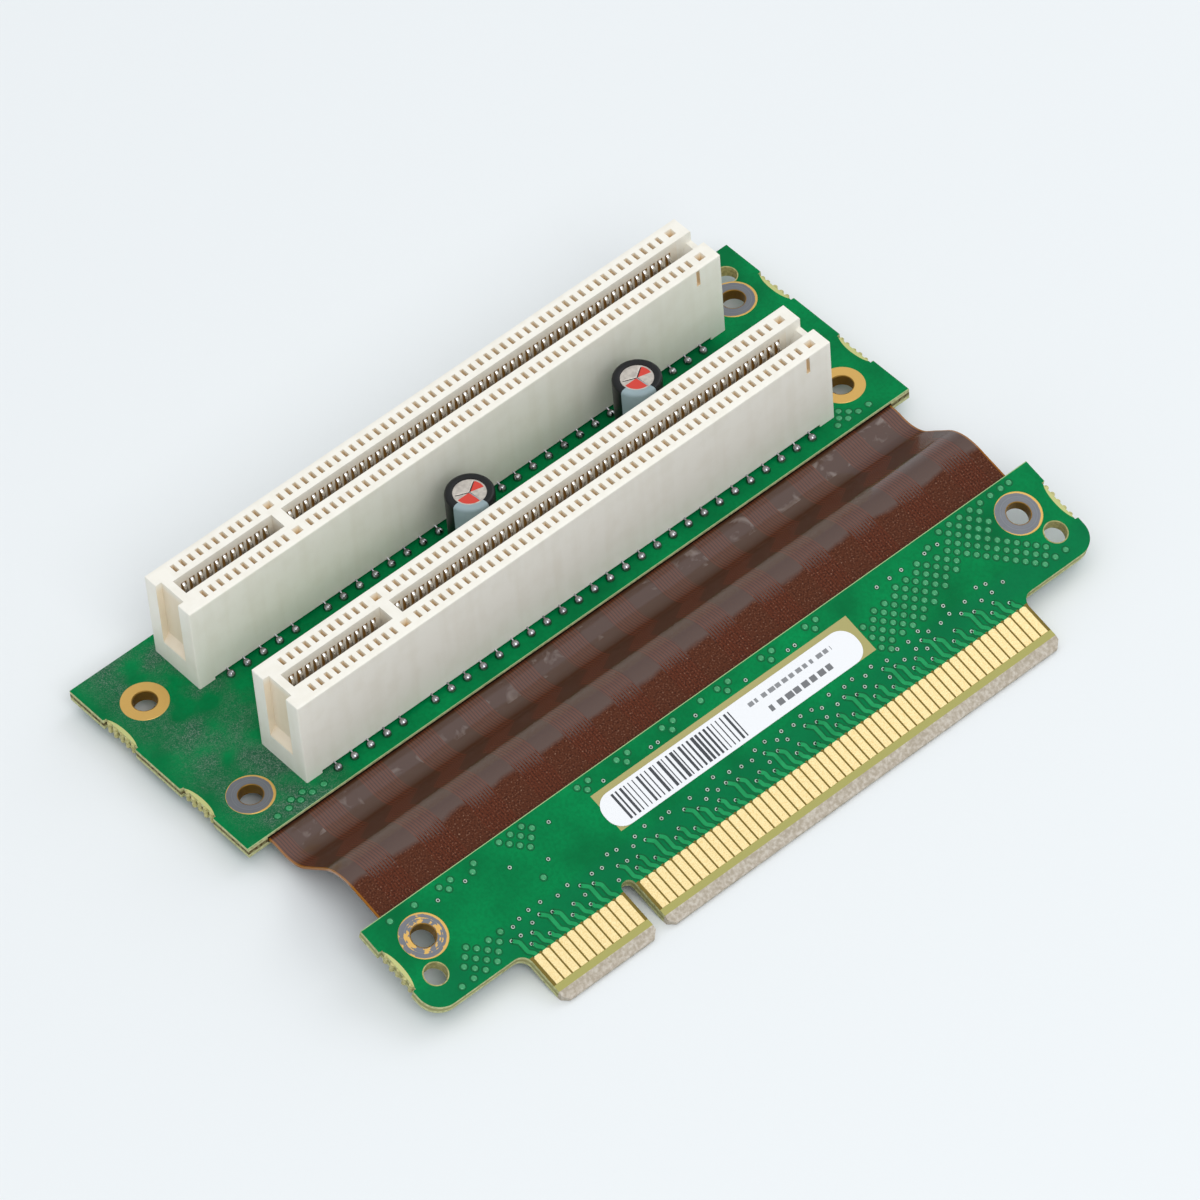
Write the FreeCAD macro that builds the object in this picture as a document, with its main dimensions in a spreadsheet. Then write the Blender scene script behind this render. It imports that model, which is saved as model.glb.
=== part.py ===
"""PCI riser card: a slot board and an edge board joined by a bent flexible circuit.

The card lies as it rests on a table. +X runs along the slots, +Y from the edge board to the slot board
and +Z up. The origin is under the middle of the card, on the plane that the card rests on.
All sizes are in millimetres and degrees.
"""

import FreeCAD
import Part
import math
import os
import Sketcher

SIZES = {
    # both boards
    "board_width": 106.2,
    "board_thickness": 1.6,
    "hole_diameter": 3.2,
    "hole_inset": 5.6,
    "tooling_diameter": 2.95,
    "tooling_inset": 3.6,
    "bite_length": 6.2,
    "bite_depth": 0.45,
    # slot board
    "slot_board_depth": 34.1,
    "front_hole_setback": 6.3,
    "hole_row_spacing": 20.2,
    "slot_tooling_setback": 30.2,
    "front_bite_setback": 6.6,
    "bite_spacing": 14.8,
    # edge board
    "edge_board_depth": 13.74,
    "edge_tilt": 17.1,
    "edge_hole_setback": 4.9,
    "edge_tooling_setback": 9.55,
    "edge_bite_setback": 3.45,
    "corner_radius": 3.0,
    "tongue_length": 7.7,
    "tongue_margin": 0.95,
    "tongue_chamfer": 0.8,
    "shoulder_radius": 1.5,
    "notch_width": 1.9,
    "bevel_length": 1.4,
    "edge_land": 0.5,
    # contact layout, shared by the slots and the card edge
    "contact_pitch": 1.27,
    "short_count": 11,
    "long_count": 49,
    "key_pitches": 3,
    "contact_offset": 0.735,
    "finger_shift": -0.4,
    "tail_shift": -0.635,
    # gold fingers
    "finger_width": 1.06,
    "finger_length": 4.35,
    "finger_gap": 1.05,
    "finger_thickness": 0.05,
    # slot housings
    "slot_spacing": 20.32,
    "front_slot_setback": 7.26,
    "slot_width": 8.64,
    "slot_height": 13.7,
    "slot_left_end": 3.5,
    "slot_right_end": 3.87,
    "card_gap": 2.56,
    "card_floor": 3.2,
    "card_end_gap": 1.5,
    "key_width": 1.5,
    "foot_length": 2.4,
    "foot_height": 0.45,
    "window_width": 0.55,
    "window_length": 1.25,
    "window_depth": 1.6,
    "window_row": 2.78,
    "square_window": 1.1,
    "end_window_gap": 1.83,
    "end_notch_depth": 1.65,
    "end_wall": 0.8,
    "end_ramp_height": 2.8,
    "recess_depth": 0.9,
    "recess_width": 4.25,
    "recess_floor": 3.4,
    "recess_slope": 1.2,
    "slit_width": 0.55,
    "slit_length": 2.6,
    "slit_drop": 0.2,
    "slit_offset": 0.15,
    "slit_depth": 0.6,
    # contacts
    "contact_width": 0.62,
    "contact_drop": 1.2,
    "contact_bulge": 0.55,
    "contact_bulge_drop": 1.6,
    # soldered tails under the slot board
    "tail_length": 2.0,
    "solder_radius": 0.85,
    "outer_tail_row": 5.08,
    "inner_tail_row": 2.54,
    # flexible circuit
    "flex_inset": 3.1,
    "flex_thickness": 0.3,
    "flex_tuck": 3.0,
    "flex_lead": 0.5,
    "dip_radius": 5.0,
    "dip_angle": 18.0,
    "valley_radius": 5.0,
    "ramp_angle": 40.0,
    "hump_radius": 6.0,
    "flex_tail": 4.8,
    # capacitors
    "capacitor_diameter": 6.3,
    "capacitor_height": 10.5,
    "capacitor_setback": 17.42,
    "left_capacitor_offset": 35.3,
    "capacitor_spacing": 27.0,
    "sleeve_wall": 0.2,
    "sleeve_curl": 0.3,
    "sleeve_lip": 2.1,
    "lead_spacing": 2.5,
    # label
    "label_length": 40.2,
    "label_width": 4.9,
    "label_offset": 37.9,
    "label_setback": 6.05,
    "label_thickness": 0.1,
    "label_radius": 2.2,
}

# Places that follow from the sizes. Distances along the slots are from the first contact.
PLACES = {
    "long_start": "(Sizes.short_count - 1 + Sizes.key_pitches) * Sizes.contact_pitch",
    "key_centre": "(Sizes.short_count - 1 + Sizes.key_pitches / 2) * Sizes.contact_pitch",
    "last_contact": "Places.long_start + (Sizes.long_count - 1) * Sizes.contact_pitch",
    "first_contact": "Sizes.contact_offset - Places.last_contact / 2",
    "first_finger": "Places.first_contact + Sizes.finger_shift",
    "slot_middle": "Sizes.tail_length + Sizes.board_thickness / 2",
    "slot_top": "Sizes.tail_length + Sizes.board_thickness",
    "flex_width": "Sizes.board_width - 2 * Sizes.flex_inset",
    "edge_length": "Sizes.edge_board_depth + Sizes.tongue_length",
    "edge_rise": (
        "(Places.edge_length - Sizes.bevel_length) * sin(Sizes.edge_tilt)"
        " + Sizes.board_thickness / 2 * cos(Sizes.edge_tilt)"
    ),
    "bend_rise": (
        "Sizes.valley_radius * (cos(Sizes.dip_angle) - cos(Sizes.ramp_angle))"
        " + Sizes.hump_radius * (cos(Sizes.edge_tilt) - cos(Sizes.ramp_angle))"
        " - Sizes.dip_radius * (1 - cos(Sizes.dip_angle)) - Sizes.flex_tail * sin(Sizes.edge_tilt)"
    ),
    "ramp_length": "(Places.edge_rise - Places.slot_middle - Places.bend_rise) / sin(Sizes.ramp_angle)",
    "flex_run": (
        "Sizes.flex_lead + Sizes.dip_radius * sin(Sizes.dip_angle)"
        " + Sizes.valley_radius * (sin(Sizes.dip_angle) + sin(Sizes.ramp_angle))"
        " + Places.ramp_length * cos(Sizes.ramp_angle)"
        " + Sizes.hump_radius * (sin(Sizes.ramp_angle) + sin(Sizes.edge_tilt))"
        " + Sizes.flex_tail * cos(Sizes.edge_tilt)"
    ),
    "front_edge": (
        "(Places.flex_run + Places.edge_length * cos(Sizes.edge_tilt)"
        " + Sizes.edge_land / 2 * sin(Sizes.edge_tilt) - Sizes.slot_board_depth) / 2"
    ),
    "edge_back": "Places.front_edge - Places.flex_run",
    "front_slot": "Places.front_edge + Sizes.front_slot_setback",
    "rear_slot": "Places.front_slot + Sizes.slot_spacing",
    "capacitor_line": "Places.front_edge + Sizes.capacitor_setback",
    "left_capacitor": "Places.first_contact + Sizes.left_capacitor_offset",
    "right_capacitor": "Places.left_capacitor + Sizes.capacitor_spacing",
}

# A fillet of this share of a slot's width is all but a full round, and leaves the flat that a fillet needs.
FULL_ROUND = 0.48

# The contacts stand in two groups, left and right of the key: (name, start, count).
GROUPS = (
    ("short", "0", "Sizes.short_count"),
    ("long", "Places.long_start", "Sizes.long_count"),
)

# The tails stand in two staggered rows a side: (name, row, start, count).
TAIL_ROWS = (
    ("inner_short", "Sizes.inner_tail_row", "0", "ceil(Sizes.short_count / 2)"),
    ("outer_short", "Sizes.outer_tail_row", "Sizes.contact_pitch", "floor(Sizes.short_count / 2)"),
    ("outer_long", "Sizes.outer_tail_row", "Places.long_start", "ceil(Sizes.long_count / 2)"),
    ("inner_long", "Sizes.inner_tail_row", "Places.long_start + Sizes.contact_pitch", "floor(Sizes.long_count / 2)"),
)

doc = FreeCAD.newDocument("pci_riser_card")
sheet = doc.addObject("Spreadsheet::Sheet", "Sizes")
places = doc.addObject("App::VarSet", "Places")
parts = []


def fill_sheet():
    """Write each driving size to a cell with its name as alias, then bind the places to them."""
    for row, (alias, size) in enumerate(SIZES.items(), start=1):
        sheet.set(f"A{row}", alias)
        sheet.set(f"B{row}", str(size))
        sheet.setAlias(f"B{row}", alias)
    doc.recompute()
    for name, expression in PLACES.items():
        places.addProperty("App::PropertyFloat", name)
        places.setExpression(name, expression)
    doc.recompute()


def number(expression):
    """The present value of an expression."""
    return float(sheet.evalExpression(expression))


def bind(target, **expressions):
    """Bind properties of an object to expressions. A double underscore stands for a dot."""
    for path, expression in expressions.items():
        target.setExpression(path.replace("__", "."), expression)


def new_body(label, x="0", y="0", z="0", tilted=False):
    """A body for one piece, placed by expressions and turned with the edge board if tilted."""
    body = doc.addObject("PartDesign::Body", label)
    if tilted:
        body.Placement = FreeCAD.Placement(FreeCAD.Vector(), FreeCAD.Rotation(FreeCAD.Vector(1, 0, 0), 10))
        bind(body, Placement__Rotation__Angle="Sizes.edge_tilt")
    bind(body, Placement__Base__x=x, Placement__Base__y=y, Placement__Base__z=z)
    parts.append(body)
    return body


def on_edge_board(label):
    """A body in the edge board's frame: its back edge at y = 0, its mid-plane at z = 0."""
    return new_body(label, y="Places.edge_back", z="Places.edge_rise", tilted=True)


def origin_feature(body, role):
    """One of a body's own origin planes or axes."""
    return next(feature for feature in body.Origin.OriginFeatures if feature.Role == role)


def new_sketch(body, role, name, lift="0", shift="0"):
    """A sketch on an origin plane of the body, moved along the plane's normal and its first axis."""
    sketch = body.newObject("Sketcher::SketchObject", name)
    sketch.AttachmentSupport = [(origin_feature(body, role), "")]
    sketch.MapMode = "FlatFace"
    bind(sketch, AttachmentOffset__Base__z=lift, AttachmentOffset__Base__x=shift)
    return sketch


def dimension(sketch, kind, elements, expression):
    """Add a driving dimension and bind it to an expression, which is in degrees for an angle."""
    name = f"size{sketch.ConstraintCount}"
    start = math.radians(number(expression)) if kind == "Angle" else number(expression)
    index = sketch.addConstraint(Sketcher.Constraint(kind, *elements, start))
    sketch.renameConstraint(index, name)
    sketch.setExpression(f"Constraints.{name}", expression)


def locate(sketch, geometry, vertex, x, y):
    """Fix a point of the sketch at expressions x and y."""
    dimension(sketch, "DistanceX", (-1, 1, geometry, vertex), x)
    dimension(sketch, "DistanceY", (-1, 1, geometry, vertex), y)


def polygon(sketch, corners):
    """A closed outline through corners given as pairs of expressions."""
    points = [FreeCAD.Vector(number(x), number(y), 0) for x, y in corners]
    first = sketch.GeometryCount
    count = len(points)
    for start, end in zip(points, points[1:] + points[:1]):
        sketch.addGeometry(Part.LineSegment(start, end), False)
    for side in range(count):
        following = (side + 1) % count
        sketch.addConstraint(Sketcher.Constraint("Coincident", first + side, 2, first + following, 1))
    for side, (x, y) in enumerate(corners):
        locate(sketch, first + side, 1, x, y)


def rectangle(sketch, left, right, bottom, top):
    """A rectangle between four expressions."""
    polygon(sketch, [(left, bottom), (right, bottom), (right, top), (left, top)])


def square(sketch, x, y, side):
    """A square centred at x, y."""
    half = f"({side}) / 2"
    rectangle(sketch, f"{x} - {half}", f"{x} + {half}", f"{y} - {half}", f"{y} + {half}")


def circle(sketch, x, y, diameter):
    """A circle centred at x, y."""
    centre = FreeCAD.Vector(number(x), number(y), 0)
    index = sketch.addGeometry(Part.Circle(centre, FreeCAD.Vector(0, 0, 1), number(diameter) / 2), False)
    locate(sketch, index, 3, x, y)
    dimension(sketch, "Diameter", (index,), diameter)


def pad(body, sketch, name, length, symmetric=False):
    """Extrude a sketch, to one side or evenly to both."""
    feature = body.newObject("PartDesign::Pad", name)
    feature.Profile = sketch
    feature.SideType = "Symmetric" if symmetric else "One side"
    bind(feature, Length=length)
    return feature


def pocket(body, sketch, name, length=None, symmetric=False):
    """Cut a sketch into the body against its normal, or evenly to both sides, or right through."""
    feature = body.newObject("PartDesign::Pocket", name)
    feature.Profile = sketch
    feature.SideType = "Symmetric" if symmetric or length is None else "One side"
    if length is None:
        feature.Type = "ThroughAll"
    else:
        bind(feature, Length=length)
    return feature


def row_pattern(body, feature, name, count, pitch="Sizes.contact_pitch"):
    """Repeat a feature of the body along X."""
    pattern = body.newObject("PartDesign::LinearPattern", name)
    pattern.Originals = [feature]
    pattern.Direction = (origin_feature(body, "X_Axis"), [""])
    pattern.Mode = "Spacing"
    bind(pattern, Offset=pitch, Occurrences=count)
    body.Tip = pattern


def upright_edges(shape, corners):
    """Names of the edges along Z that pass through the given corners."""
    wanted = [(number(x), number(y)) for x, y in corners]
    names = []
    for index, edge in enumerate(shape.Edges, start=1):
        box = edge.BoundBox
        if box.XLength + box.YLength > 1e-6:
            continue
        if any(math.hypot(box.XMin - x, box.YMin - y) < 1e-6 for x, y in wanted):
            names.append(f"Edge{index}")
    return names


def dress_corners(body, kind, name, corners, **sizes):
    """Add a Fillet or Chamfer to the upright edges at the given corners of the body."""
    doc.recompute()
    base = body.Tip
    dressing = body.newObject(f"PartDesign::{kind}", name)
    dressing.Base = (base, upright_edges(base.Shape, corners))
    bind(dressing, **sizes)


def board_bites(body, setbacks):
    """The shallow breaks left by the panel tabs on both short edges, measured from the front edge."""
    sketch = new_sketch(body, "XY_Plane", f"{body.Label}_bite_outline")
    for setback in setbacks:
        far = f"{setback} + Sizes.bite_length"
        inner = "Sizes.board_width / 2 - Sizes.bite_depth"
        outer = "Sizes.board_width / 2 + Sizes.bite_depth"
        rectangle(sketch, inner, outer, setback, far)
        rectangle(sketch, f"-({outer})", f"-({inner})", setback, far)
    pocket(body, sketch, f"{body.Label}_bites")


def flex_slot(body, inward):
    """The gap in a board's mid-plane that holds the end of the flexible circuit."""
    sketch = new_sketch(body, "YZ_Plane", f"{body.Label}_flex_outline")
    half = "Sizes.flex_thickness / 2"
    rectangle(sketch, "0", inward, f"-{half}", half)
    pocket(body, sketch, f"{body.Label}_flex_slot", "Places.flex_width", symmetric=True)


def slot_board():
    """The board under the slots, with its front edge at y = 0 and its mid-plane at z = 0."""
    body = new_body("slot_board", y="Places.front_edge", z="Places.slot_middle")
    outline = new_sketch(body, "XY_Plane", "slot_board_outline")
    half = "Sizes.board_width / 2"
    rectangle(outline, f"-{half}", half, "0", "Sizes.slot_board_depth")
    pad(body, outline, "slot_board_blank", "Sizes.board_thickness", symmetric=True)
    holes = new_sketch(body, "XY_Plane", "slot_board_hole_plan")
    rear_row = "Sizes.front_hole_setback + Sizes.hole_row_spacing"
    for row in ("Sizes.front_hole_setback", rear_row):
        circle(holes, f"Sizes.hole_inset - {half}", row, "Sizes.hole_diameter")
        circle(holes, f"{half} - Sizes.hole_inset", row, "Sizes.hole_diameter")
    circle(holes, f"{half} - Sizes.tooling_inset", "Sizes.slot_tooling_setback", "Sizes.tooling_diameter")
    pocket(body, holes, "slot_board_holes")
    board_bites(body, ("Sizes.front_bite_setback", "Sizes.front_bite_setback + Sizes.bite_spacing"))
    flex_slot(body, "Sizes.flex_tuck")


def edge_board():
    """The board with the card edge: rounded front corners, and a bevelled tongue cut by the key notch."""
    body = on_edge_board("edge_board")
    half = "Sizes.board_width / 2"
    shoulder = "-Sizes.edge_board_depth"
    tip = "-Places.edge_length"
    tongue_left = "Places.first_finger - Sizes.tongue_margin"
    tongue_right = "Places.first_finger + Places.last_contact + Sizes.tongue_margin"
    notch_left = "Places.first_finger + Places.key_centre - Sizes.notch_width / 2"
    notch_right = "Places.first_finger + Places.key_centre + Sizes.notch_width / 2"
    front_corners = [(f"-{half}", shoulder), (half, shoulder)]
    shoulders = [(tongue_left, shoulder), (tongue_right, shoulder)]
    notch_top = [(notch_left, shoulder), (notch_right, shoulder)]
    tongue_corners = [(x, tip) for x in (tongue_left, notch_left, notch_right, tongue_right)]
    outline = new_sketch(body, "XY_Plane", "edge_board_outline")
    polygon(
        outline,
        [
            (f"-{half}", "0"),
            front_corners[0],
            shoulders[0],
            tongue_corners[0],
            tongue_corners[1],
            notch_top[0],
            notch_top[1],
            tongue_corners[2],
            tongue_corners[3],
            shoulders[1],
            front_corners[1],
            (half, "0"),
        ],
    )
    pad(body, outline, "edge_board_blank", "Sizes.board_thickness", symmetric=True)
    dress_corners(body, "Fillet", "front_corners", front_corners, Radius="Sizes.corner_radius")
    dress_corners(body, "Fillet", "shoulders", shoulders, Radius="Sizes.shoulder_radius")
    dress_corners(body, "Fillet", "notch_top", notch_top, Radius=f"{FULL_ROUND} * Sizes.notch_width")
    dress_corners(body, "Chamfer", "tongue_corners", tongue_corners, Size="Sizes.tongue_chamfer")
    holes = new_sketch(body, "XY_Plane", "edge_board_hole_plan")
    for side in ("-1", "1"):
        mount = f"{side} * ({half} - Sizes.hole_inset)"
        tooling = f"{side} * ({half} - Sizes.tooling_inset)"
        circle(holes, mount, "-Sizes.edge_hole_setback", "Sizes.hole_diameter")
        circle(holes, tooling, "-Sizes.edge_tooling_setback", "Sizes.tooling_diameter")
    pocket(body, holes, "edge_board_holes")
    board_bites(body, ("-Sizes.edge_bite_setback - Sizes.bite_length",))
    flex_slot(body, "-Sizes.flex_tuck")
    bevel = new_sketch(body, "YZ_Plane", "bevel_outline")
    heel = f"{tip} + Sizes.bevel_length"
    for side in ("1", "-1"):
        face = f"{side} * Sizes.board_thickness / 2"
        land = f"{side} * Sizes.edge_land / 2"
        polygon(bevel, [(tip, land), (heel, face), (tip, face)])
    pocket(body, bevel, "bevels")


def fingers(label, side):
    """One face's row of gold fingers. Side is 1 on the top face and -1 on the under face."""
    body = on_edge_board(label)
    inner = "Sizes.board_thickness / 2"
    lift = inner if side > 0 else f"-{inner} - Sizes.finger_thickness"
    top = "-Sizes.edge_board_depth - Sizes.finger_gap"
    for group, start, count in GROUPS:
        outline = new_sketch(body, "XY_Plane", f"{label}_{group}_outline", lift, f"Places.first_finger + {start}")
        half = "Sizes.finger_width / 2"
        rectangle(outline, f"-{half}", half, f"{top} - Sizes.finger_length", top)
        finger = pad(body, outline, f"{label}_{group}_first", "Sizes.finger_thickness")
        row_pattern(body, finger, f"{label}_{group}_row", count)


def flex_circuit():
    """The polyimide sheet: out of the slot board, through a shallow valley, over a hump, into the edge board."""
    body = new_body("flex_circuit", y="Places.front_edge", z="Places.slot_middle")
    path = new_sketch(body, "YZ_Plane", "flex_path")
    dip = math.radians(number("Sizes.dip_angle"))
    ramp = math.radians(number("Sizes.ramp_angle"))
    tilt = math.radians(number("Sizes.edge_tilt"))

    def forward(angle):
        return FreeCAD.Vector(-math.cos(angle), math.sin(angle), 0)

    def above(angle):
        return FreeCAD.Vector(math.sin(angle), math.cos(angle), 0)

    def arc(centre, radius, start, end):
        ring = Part.Circle(centre, FreeCAD.Vector(0, 0, 1), radius)
        return path.addGeometry(Part.ArcOfCircle(ring, start, end), False)

    def line(start, end):
        return path.addGeometry(Part.LineSegment(start, end), False)

    quarter = math.pi / 2
    dip_radius = number("Sizes.dip_radius")
    valley_radius = number("Sizes.valley_radius")
    hump_radius = number("Sizes.hump_radius")
    lead_end = forward(0) * number("Sizes.flex_lead")
    dip_centre = lead_end - above(0) * dip_radius
    dip_end = dip_centre + above(-dip) * dip_radius
    valley_centre = dip_end + above(-dip) * valley_radius
    ramp_start = valley_centre - above(ramp) * valley_radius
    ramp_end = ramp_start + forward(ramp) * number("Places.ramp_length")
    hump_centre = ramp_end - above(ramp) * hump_radius
    tail_start = hump_centre + above(-tilt) * hump_radius
    tail_end = tail_start + forward(-tilt) * number("Sizes.flex_tail + Sizes.flex_tuck")
    lead = line(forward(0) * -number("Sizes.flex_tuck"), lead_end)
    dip_arc = arc(dip_centre, dip_radius, quarter, quarter + dip)
    valley_arc = arc(valley_centre, valley_radius, -quarter - ramp, -quarter + dip)
    ramp_line = line(ramp_start, ramp_end)
    hump_arc = arc(hump_centre, hump_radius, quarter - ramp, quarter + tilt)
    tail = line(tail_start, tail_end)

    joints = (
        (lead, 2, dip_arc, 1),
        (dip_arc, 2, valley_arc, 2),
        (valley_arc, 1, ramp_line, 1),
        (ramp_line, 2, hump_arc, 1),
        (hump_arc, 2, tail, 1),
    )
    for joint in joints:
        path.addConstraint(Sketcher.Constraint("Tangent", *joint))
    path.addConstraint(Sketcher.Constraint("Horizontal", lead))
    locate(path, lead, 1, "Sizes.flex_tuck", "0")
    dimension(path, "DistanceX", (lead, 2, lead, 1), "Sizes.flex_tuck + Sizes.flex_lead")
    dimension(path, "Radius", (dip_arc,), "Sizes.dip_radius")
    dimension(path, "Radius", (valley_arc,), "Sizes.valley_radius")
    dimension(path, "Radius", (hump_arc,), "Sizes.hump_radius")
    dimension(path, "Distance", (ramp_line,), "Places.ramp_length")
    dimension(path, "Distance", (tail,), "Sizes.flex_tail + Sizes.flex_tuck")
    turns = (
        (dip_arc, "Sizes.dip_angle"),
        (valley_arc, "Sizes.dip_angle + Sizes.ramp_angle"),
        (hump_arc, "Sizes.ramp_angle + Sizes.edge_tilt"),
    )
    for bend, turn in turns:
        dimension(path, "Angle", (bend,), turn)

    section = new_sketch(body, "XZ_Plane", "flex_section", "-Sizes.flex_tuck")
    half_width = "Places.flex_width / 2"
    half_thickness = "Sizes.flex_thickness / 2"
    rectangle(section, f"-{half_width}", half_width, f"-{half_thickness}", half_thickness)
    doc.recompute()
    sheet_sweep = body.newObject("PartDesign::AdditivePipe", "flex_sheet")
    sheet_sweep.Profile = section
    sheet_sweep.Spine = path


def slot_housing(label, line):
    """A slot moulding with its first contact at x = 0, its middle at y = 0 and its seat at z = 0."""
    body = new_body(label, "Places.first_contact", line, "Places.slot_top")
    left = "-Sizes.slot_left_end"
    right = "Places.last_contact + Sizes.slot_right_end"
    top = "Sizes.slot_height"
    half_width = "Sizes.slot_width / 2"
    half_gap = "Sizes.card_gap / 2"
    outline = new_sketch(body, "XY_Plane", f"{label}_outline")
    rectangle(outline, left, right, f"-{half_width}", half_width)
    pad(body, outline, f"{label}_block", top)

    relief = new_sketch(body, "XZ_Plane", f"{label}_relief_outline")
    rectangle(relief, f"{left} + Sizes.foot_length", f"{right} - Sizes.foot_length", "0", "Sizes.foot_height")
    pocket(body, relief, f"{label}_relief")

    card_left = "-Sizes.card_end_gap"
    card_right = "Places.last_contact + Sizes.card_end_gap"
    card = new_sketch(body, "XY_Plane", f"{label}_card_outline", top)
    half_key = "Sizes.key_width / 2"
    rectangle(card, card_left, f"Places.key_centre - {half_key}", f"-{half_gap}", half_gap)
    rectangle(card, f"Places.key_centre + {half_key}", card_right, f"-{half_gap}", half_gap)
    pocket(body, card, f"{label}_card_slot", f"{top} - Sizes.card_floor")

    lead_in = new_sketch(body, "XZ_Plane", f"{label}_lead_in_outline")
    sill = f"{top} - Sizes.end_notch_depth"
    outside = f"{right} + Sizes.end_wall"
    polygon(
        lead_in,
        [
            (card_right, f"{sill} - Sizes.end_ramp_height"),
            (f"{right} - Sizes.end_wall", sill),
            (outside, sill),
            (outside, top),
            (card_right, top),
        ],
    )
    pocket(body, lead_in, f"{label}_lead_in", "Sizes.card_gap", symmetric=True)

    recess = new_sketch(body, "XZ_Plane", f"{label}_recess_outline")
    recess_back = f"{left} + Sizes.recess_depth"
    polygon(
        recess,
        [
            (left, "Sizes.recess_floor"),
            (recess_back, "Sizes.recess_floor + Sizes.recess_slope"),
            (recess_back, top),
            (left, top),
        ],
    )
    pocket(body, recess, f"{label}_recess", "Sizes.recess_width", symmetric=True)

    squares = new_sketch(body, "XY_Plane", f"{label}_square_outline", top)
    for x in ("Places.key_centre", "Places.last_contact + Sizes.end_window_gap"):
        for row in ("-Sizes.window_row", "Sizes.window_row"):
            square(squares, x, row, "Sizes.square_window")
    pocket(body, squares, f"{label}_square_windows", "Sizes.window_depth")

    slit = new_sketch(body, "XZ_Plane", f"{label}_slit_outline", half_width)
    slit_left = "Places.last_contact + Sizes.slit_offset - Sizes.slit_width / 2"
    slit_top = f"{top} - Sizes.slit_drop"
    rectangle(slit, slit_left, f"{slit_left} + Sizes.slit_width", f"{slit_top} - Sizes.slit_length", slit_top)
    pocket(body, slit, f"{label}_slit", "Sizes.slit_depth")

    half = "Sizes.window_width / 2"
    for row, lift in (("front", "Sizes.window_row"), ("rear", "-Sizes.window_row")):
        for group, start, count in GROUPS:
            name = f"{label}_{row}_{group}_window"
            funnel = new_sketch(body, "XZ_Plane", f"{name}_outline", lift, start)
            polygon(funnel, [(f"-{half}", top), ("0", f"{top} - Sizes.window_depth"), (half, top)])
            window = pocket(body, funnel, name, "Sizes.window_length", symmetric=True)
            row_pattern(body, window, f"{name}_row", count)


def contact_row(label, line, side):
    """A row of contact springs on one wall of a card slot. Side is -1 on the front wall, 1 on the rear."""
    body = new_body(label, "Places.first_contact", line, "Places.slot_top")
    wall = f"{side} * Sizes.card_gap / 2"
    bulge = f"{side} * (Sizes.card_gap / 2 - Sizes.contact_bulge)"
    tip = "Sizes.slot_height - Sizes.contact_drop"
    for group, start, count in GROUPS:
        profile = new_sketch(body, "YZ_Plane", f"{label}_{group}_profile", start)
        polygon(profile, [(wall, tip), (bulge, f"{tip} - Sizes.contact_bulge_drop"), (wall, "Sizes.card_floor")])
        contact = pad(body, profile, f"{label}_{group}_first", "Sizes.contact_width", symmetric=True)
        row_pattern(body, contact, f"{label}_{group}_row", count)


def solder_cone(body, name, x, y):
    """A three-sided cone of solder round a tail, pointing down from the board's under face at z = 0."""
    seat = new_sketch(body, "XY_Plane", f"{name}_seat", shift=x)
    radius = "Sizes.solder_radius"
    rear = f"{y} + {radius} / 2"
    corner = f"{radius} * cos(30)"
    polygon(seat, [("0", f"{y} - {radius}"), (corner, rear), (f"-{corner}", rear)])
    tip = new_sketch(body, "XY_Plane", f"{name}_tip", "-Sizes.tail_length", x)
    point = tip.addGeometry(Part.Point(FreeCAD.Vector(0, number(y), 0)), False)
    locate(tip, point, 1, "0", y)
    cone = body.newObject("PartDesign::AdditiveLoft", name)
    cone.Profile = seat
    cone.Sections = [(tip, ["Vertex1"])]
    cone.Ruled = True
    return cone


def slot_solder_joints(label, line):
    """The four staggered rows of soldered tails under one slot."""
    body = new_body(label, "Places.first_contact + Sizes.tail_shift", line, "Sizes.tail_length")
    for name, row, start, count in TAIL_ROWS:
        for side, sign in (("front", "-1"), ("rear", "1")):
            cone = solder_cone(body, f"{label}_{name}_{side}", start, f"{sign} * {row}")
            row_pattern(body, cone, f"{label}_{name}_{side}_row", count, "2 * Sizes.contact_pitch")


def revolved(label, x, corners):
    """A round capacitor piece turned about its own upright axis, standing on the slot board."""
    body = new_body(label, x, "Places.capacitor_line", "Places.slot_top")
    profile = new_sketch(body, "XZ_Plane", f"{label}_profile")
    polygon(profile, corners)
    turned = body.newObject("PartDesign::Revolution", f"{label}_turned")
    turned.Profile = profile
    turned.ReferenceAxis = (profile, ["V_Axis"])
    turned.Angle = 360


def capacitor(side, x):
    """A radial capacitor: a sealed can, the sleeve that curls over its top rim, and its soldered leads."""
    radius = "Sizes.capacitor_diameter / 2"
    top = "Sizes.capacitor_height"
    inner = f"{radius} - Sizes.sleeve_wall"
    roof = f"{top} - Sizes.sleeve_wall"
    curl = "Sizes.sleeve_curl"
    sleeve = [
        (radius, "0"),
        (radius, f"{top} - {curl}"),
        (f"{radius} - {curl}", top),
        ("Sizes.sleeve_lip", top),
        ("Sizes.sleeve_lip", roof),
        (inner, roof),
        (inner, "0"),
    ]
    revolved(f"{side}_capacitor_sleeve", x, sleeve)
    revolved(f"{side}_capacitor_can", x, [("0", "0"), (inner, "0"), (inner, roof), ("0", roof)])
    leads = new_body(f"{side}_capacitor_leads", x, "Places.capacitor_line", "Sizes.tail_length")
    for lead, sign in (("front", "-1"), ("rear", "1")):
        solder_cone(leads, f"{side}_capacitor_{lead}_lead", "0", f"{sign} * Sizes.lead_spacing / 2")


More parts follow.
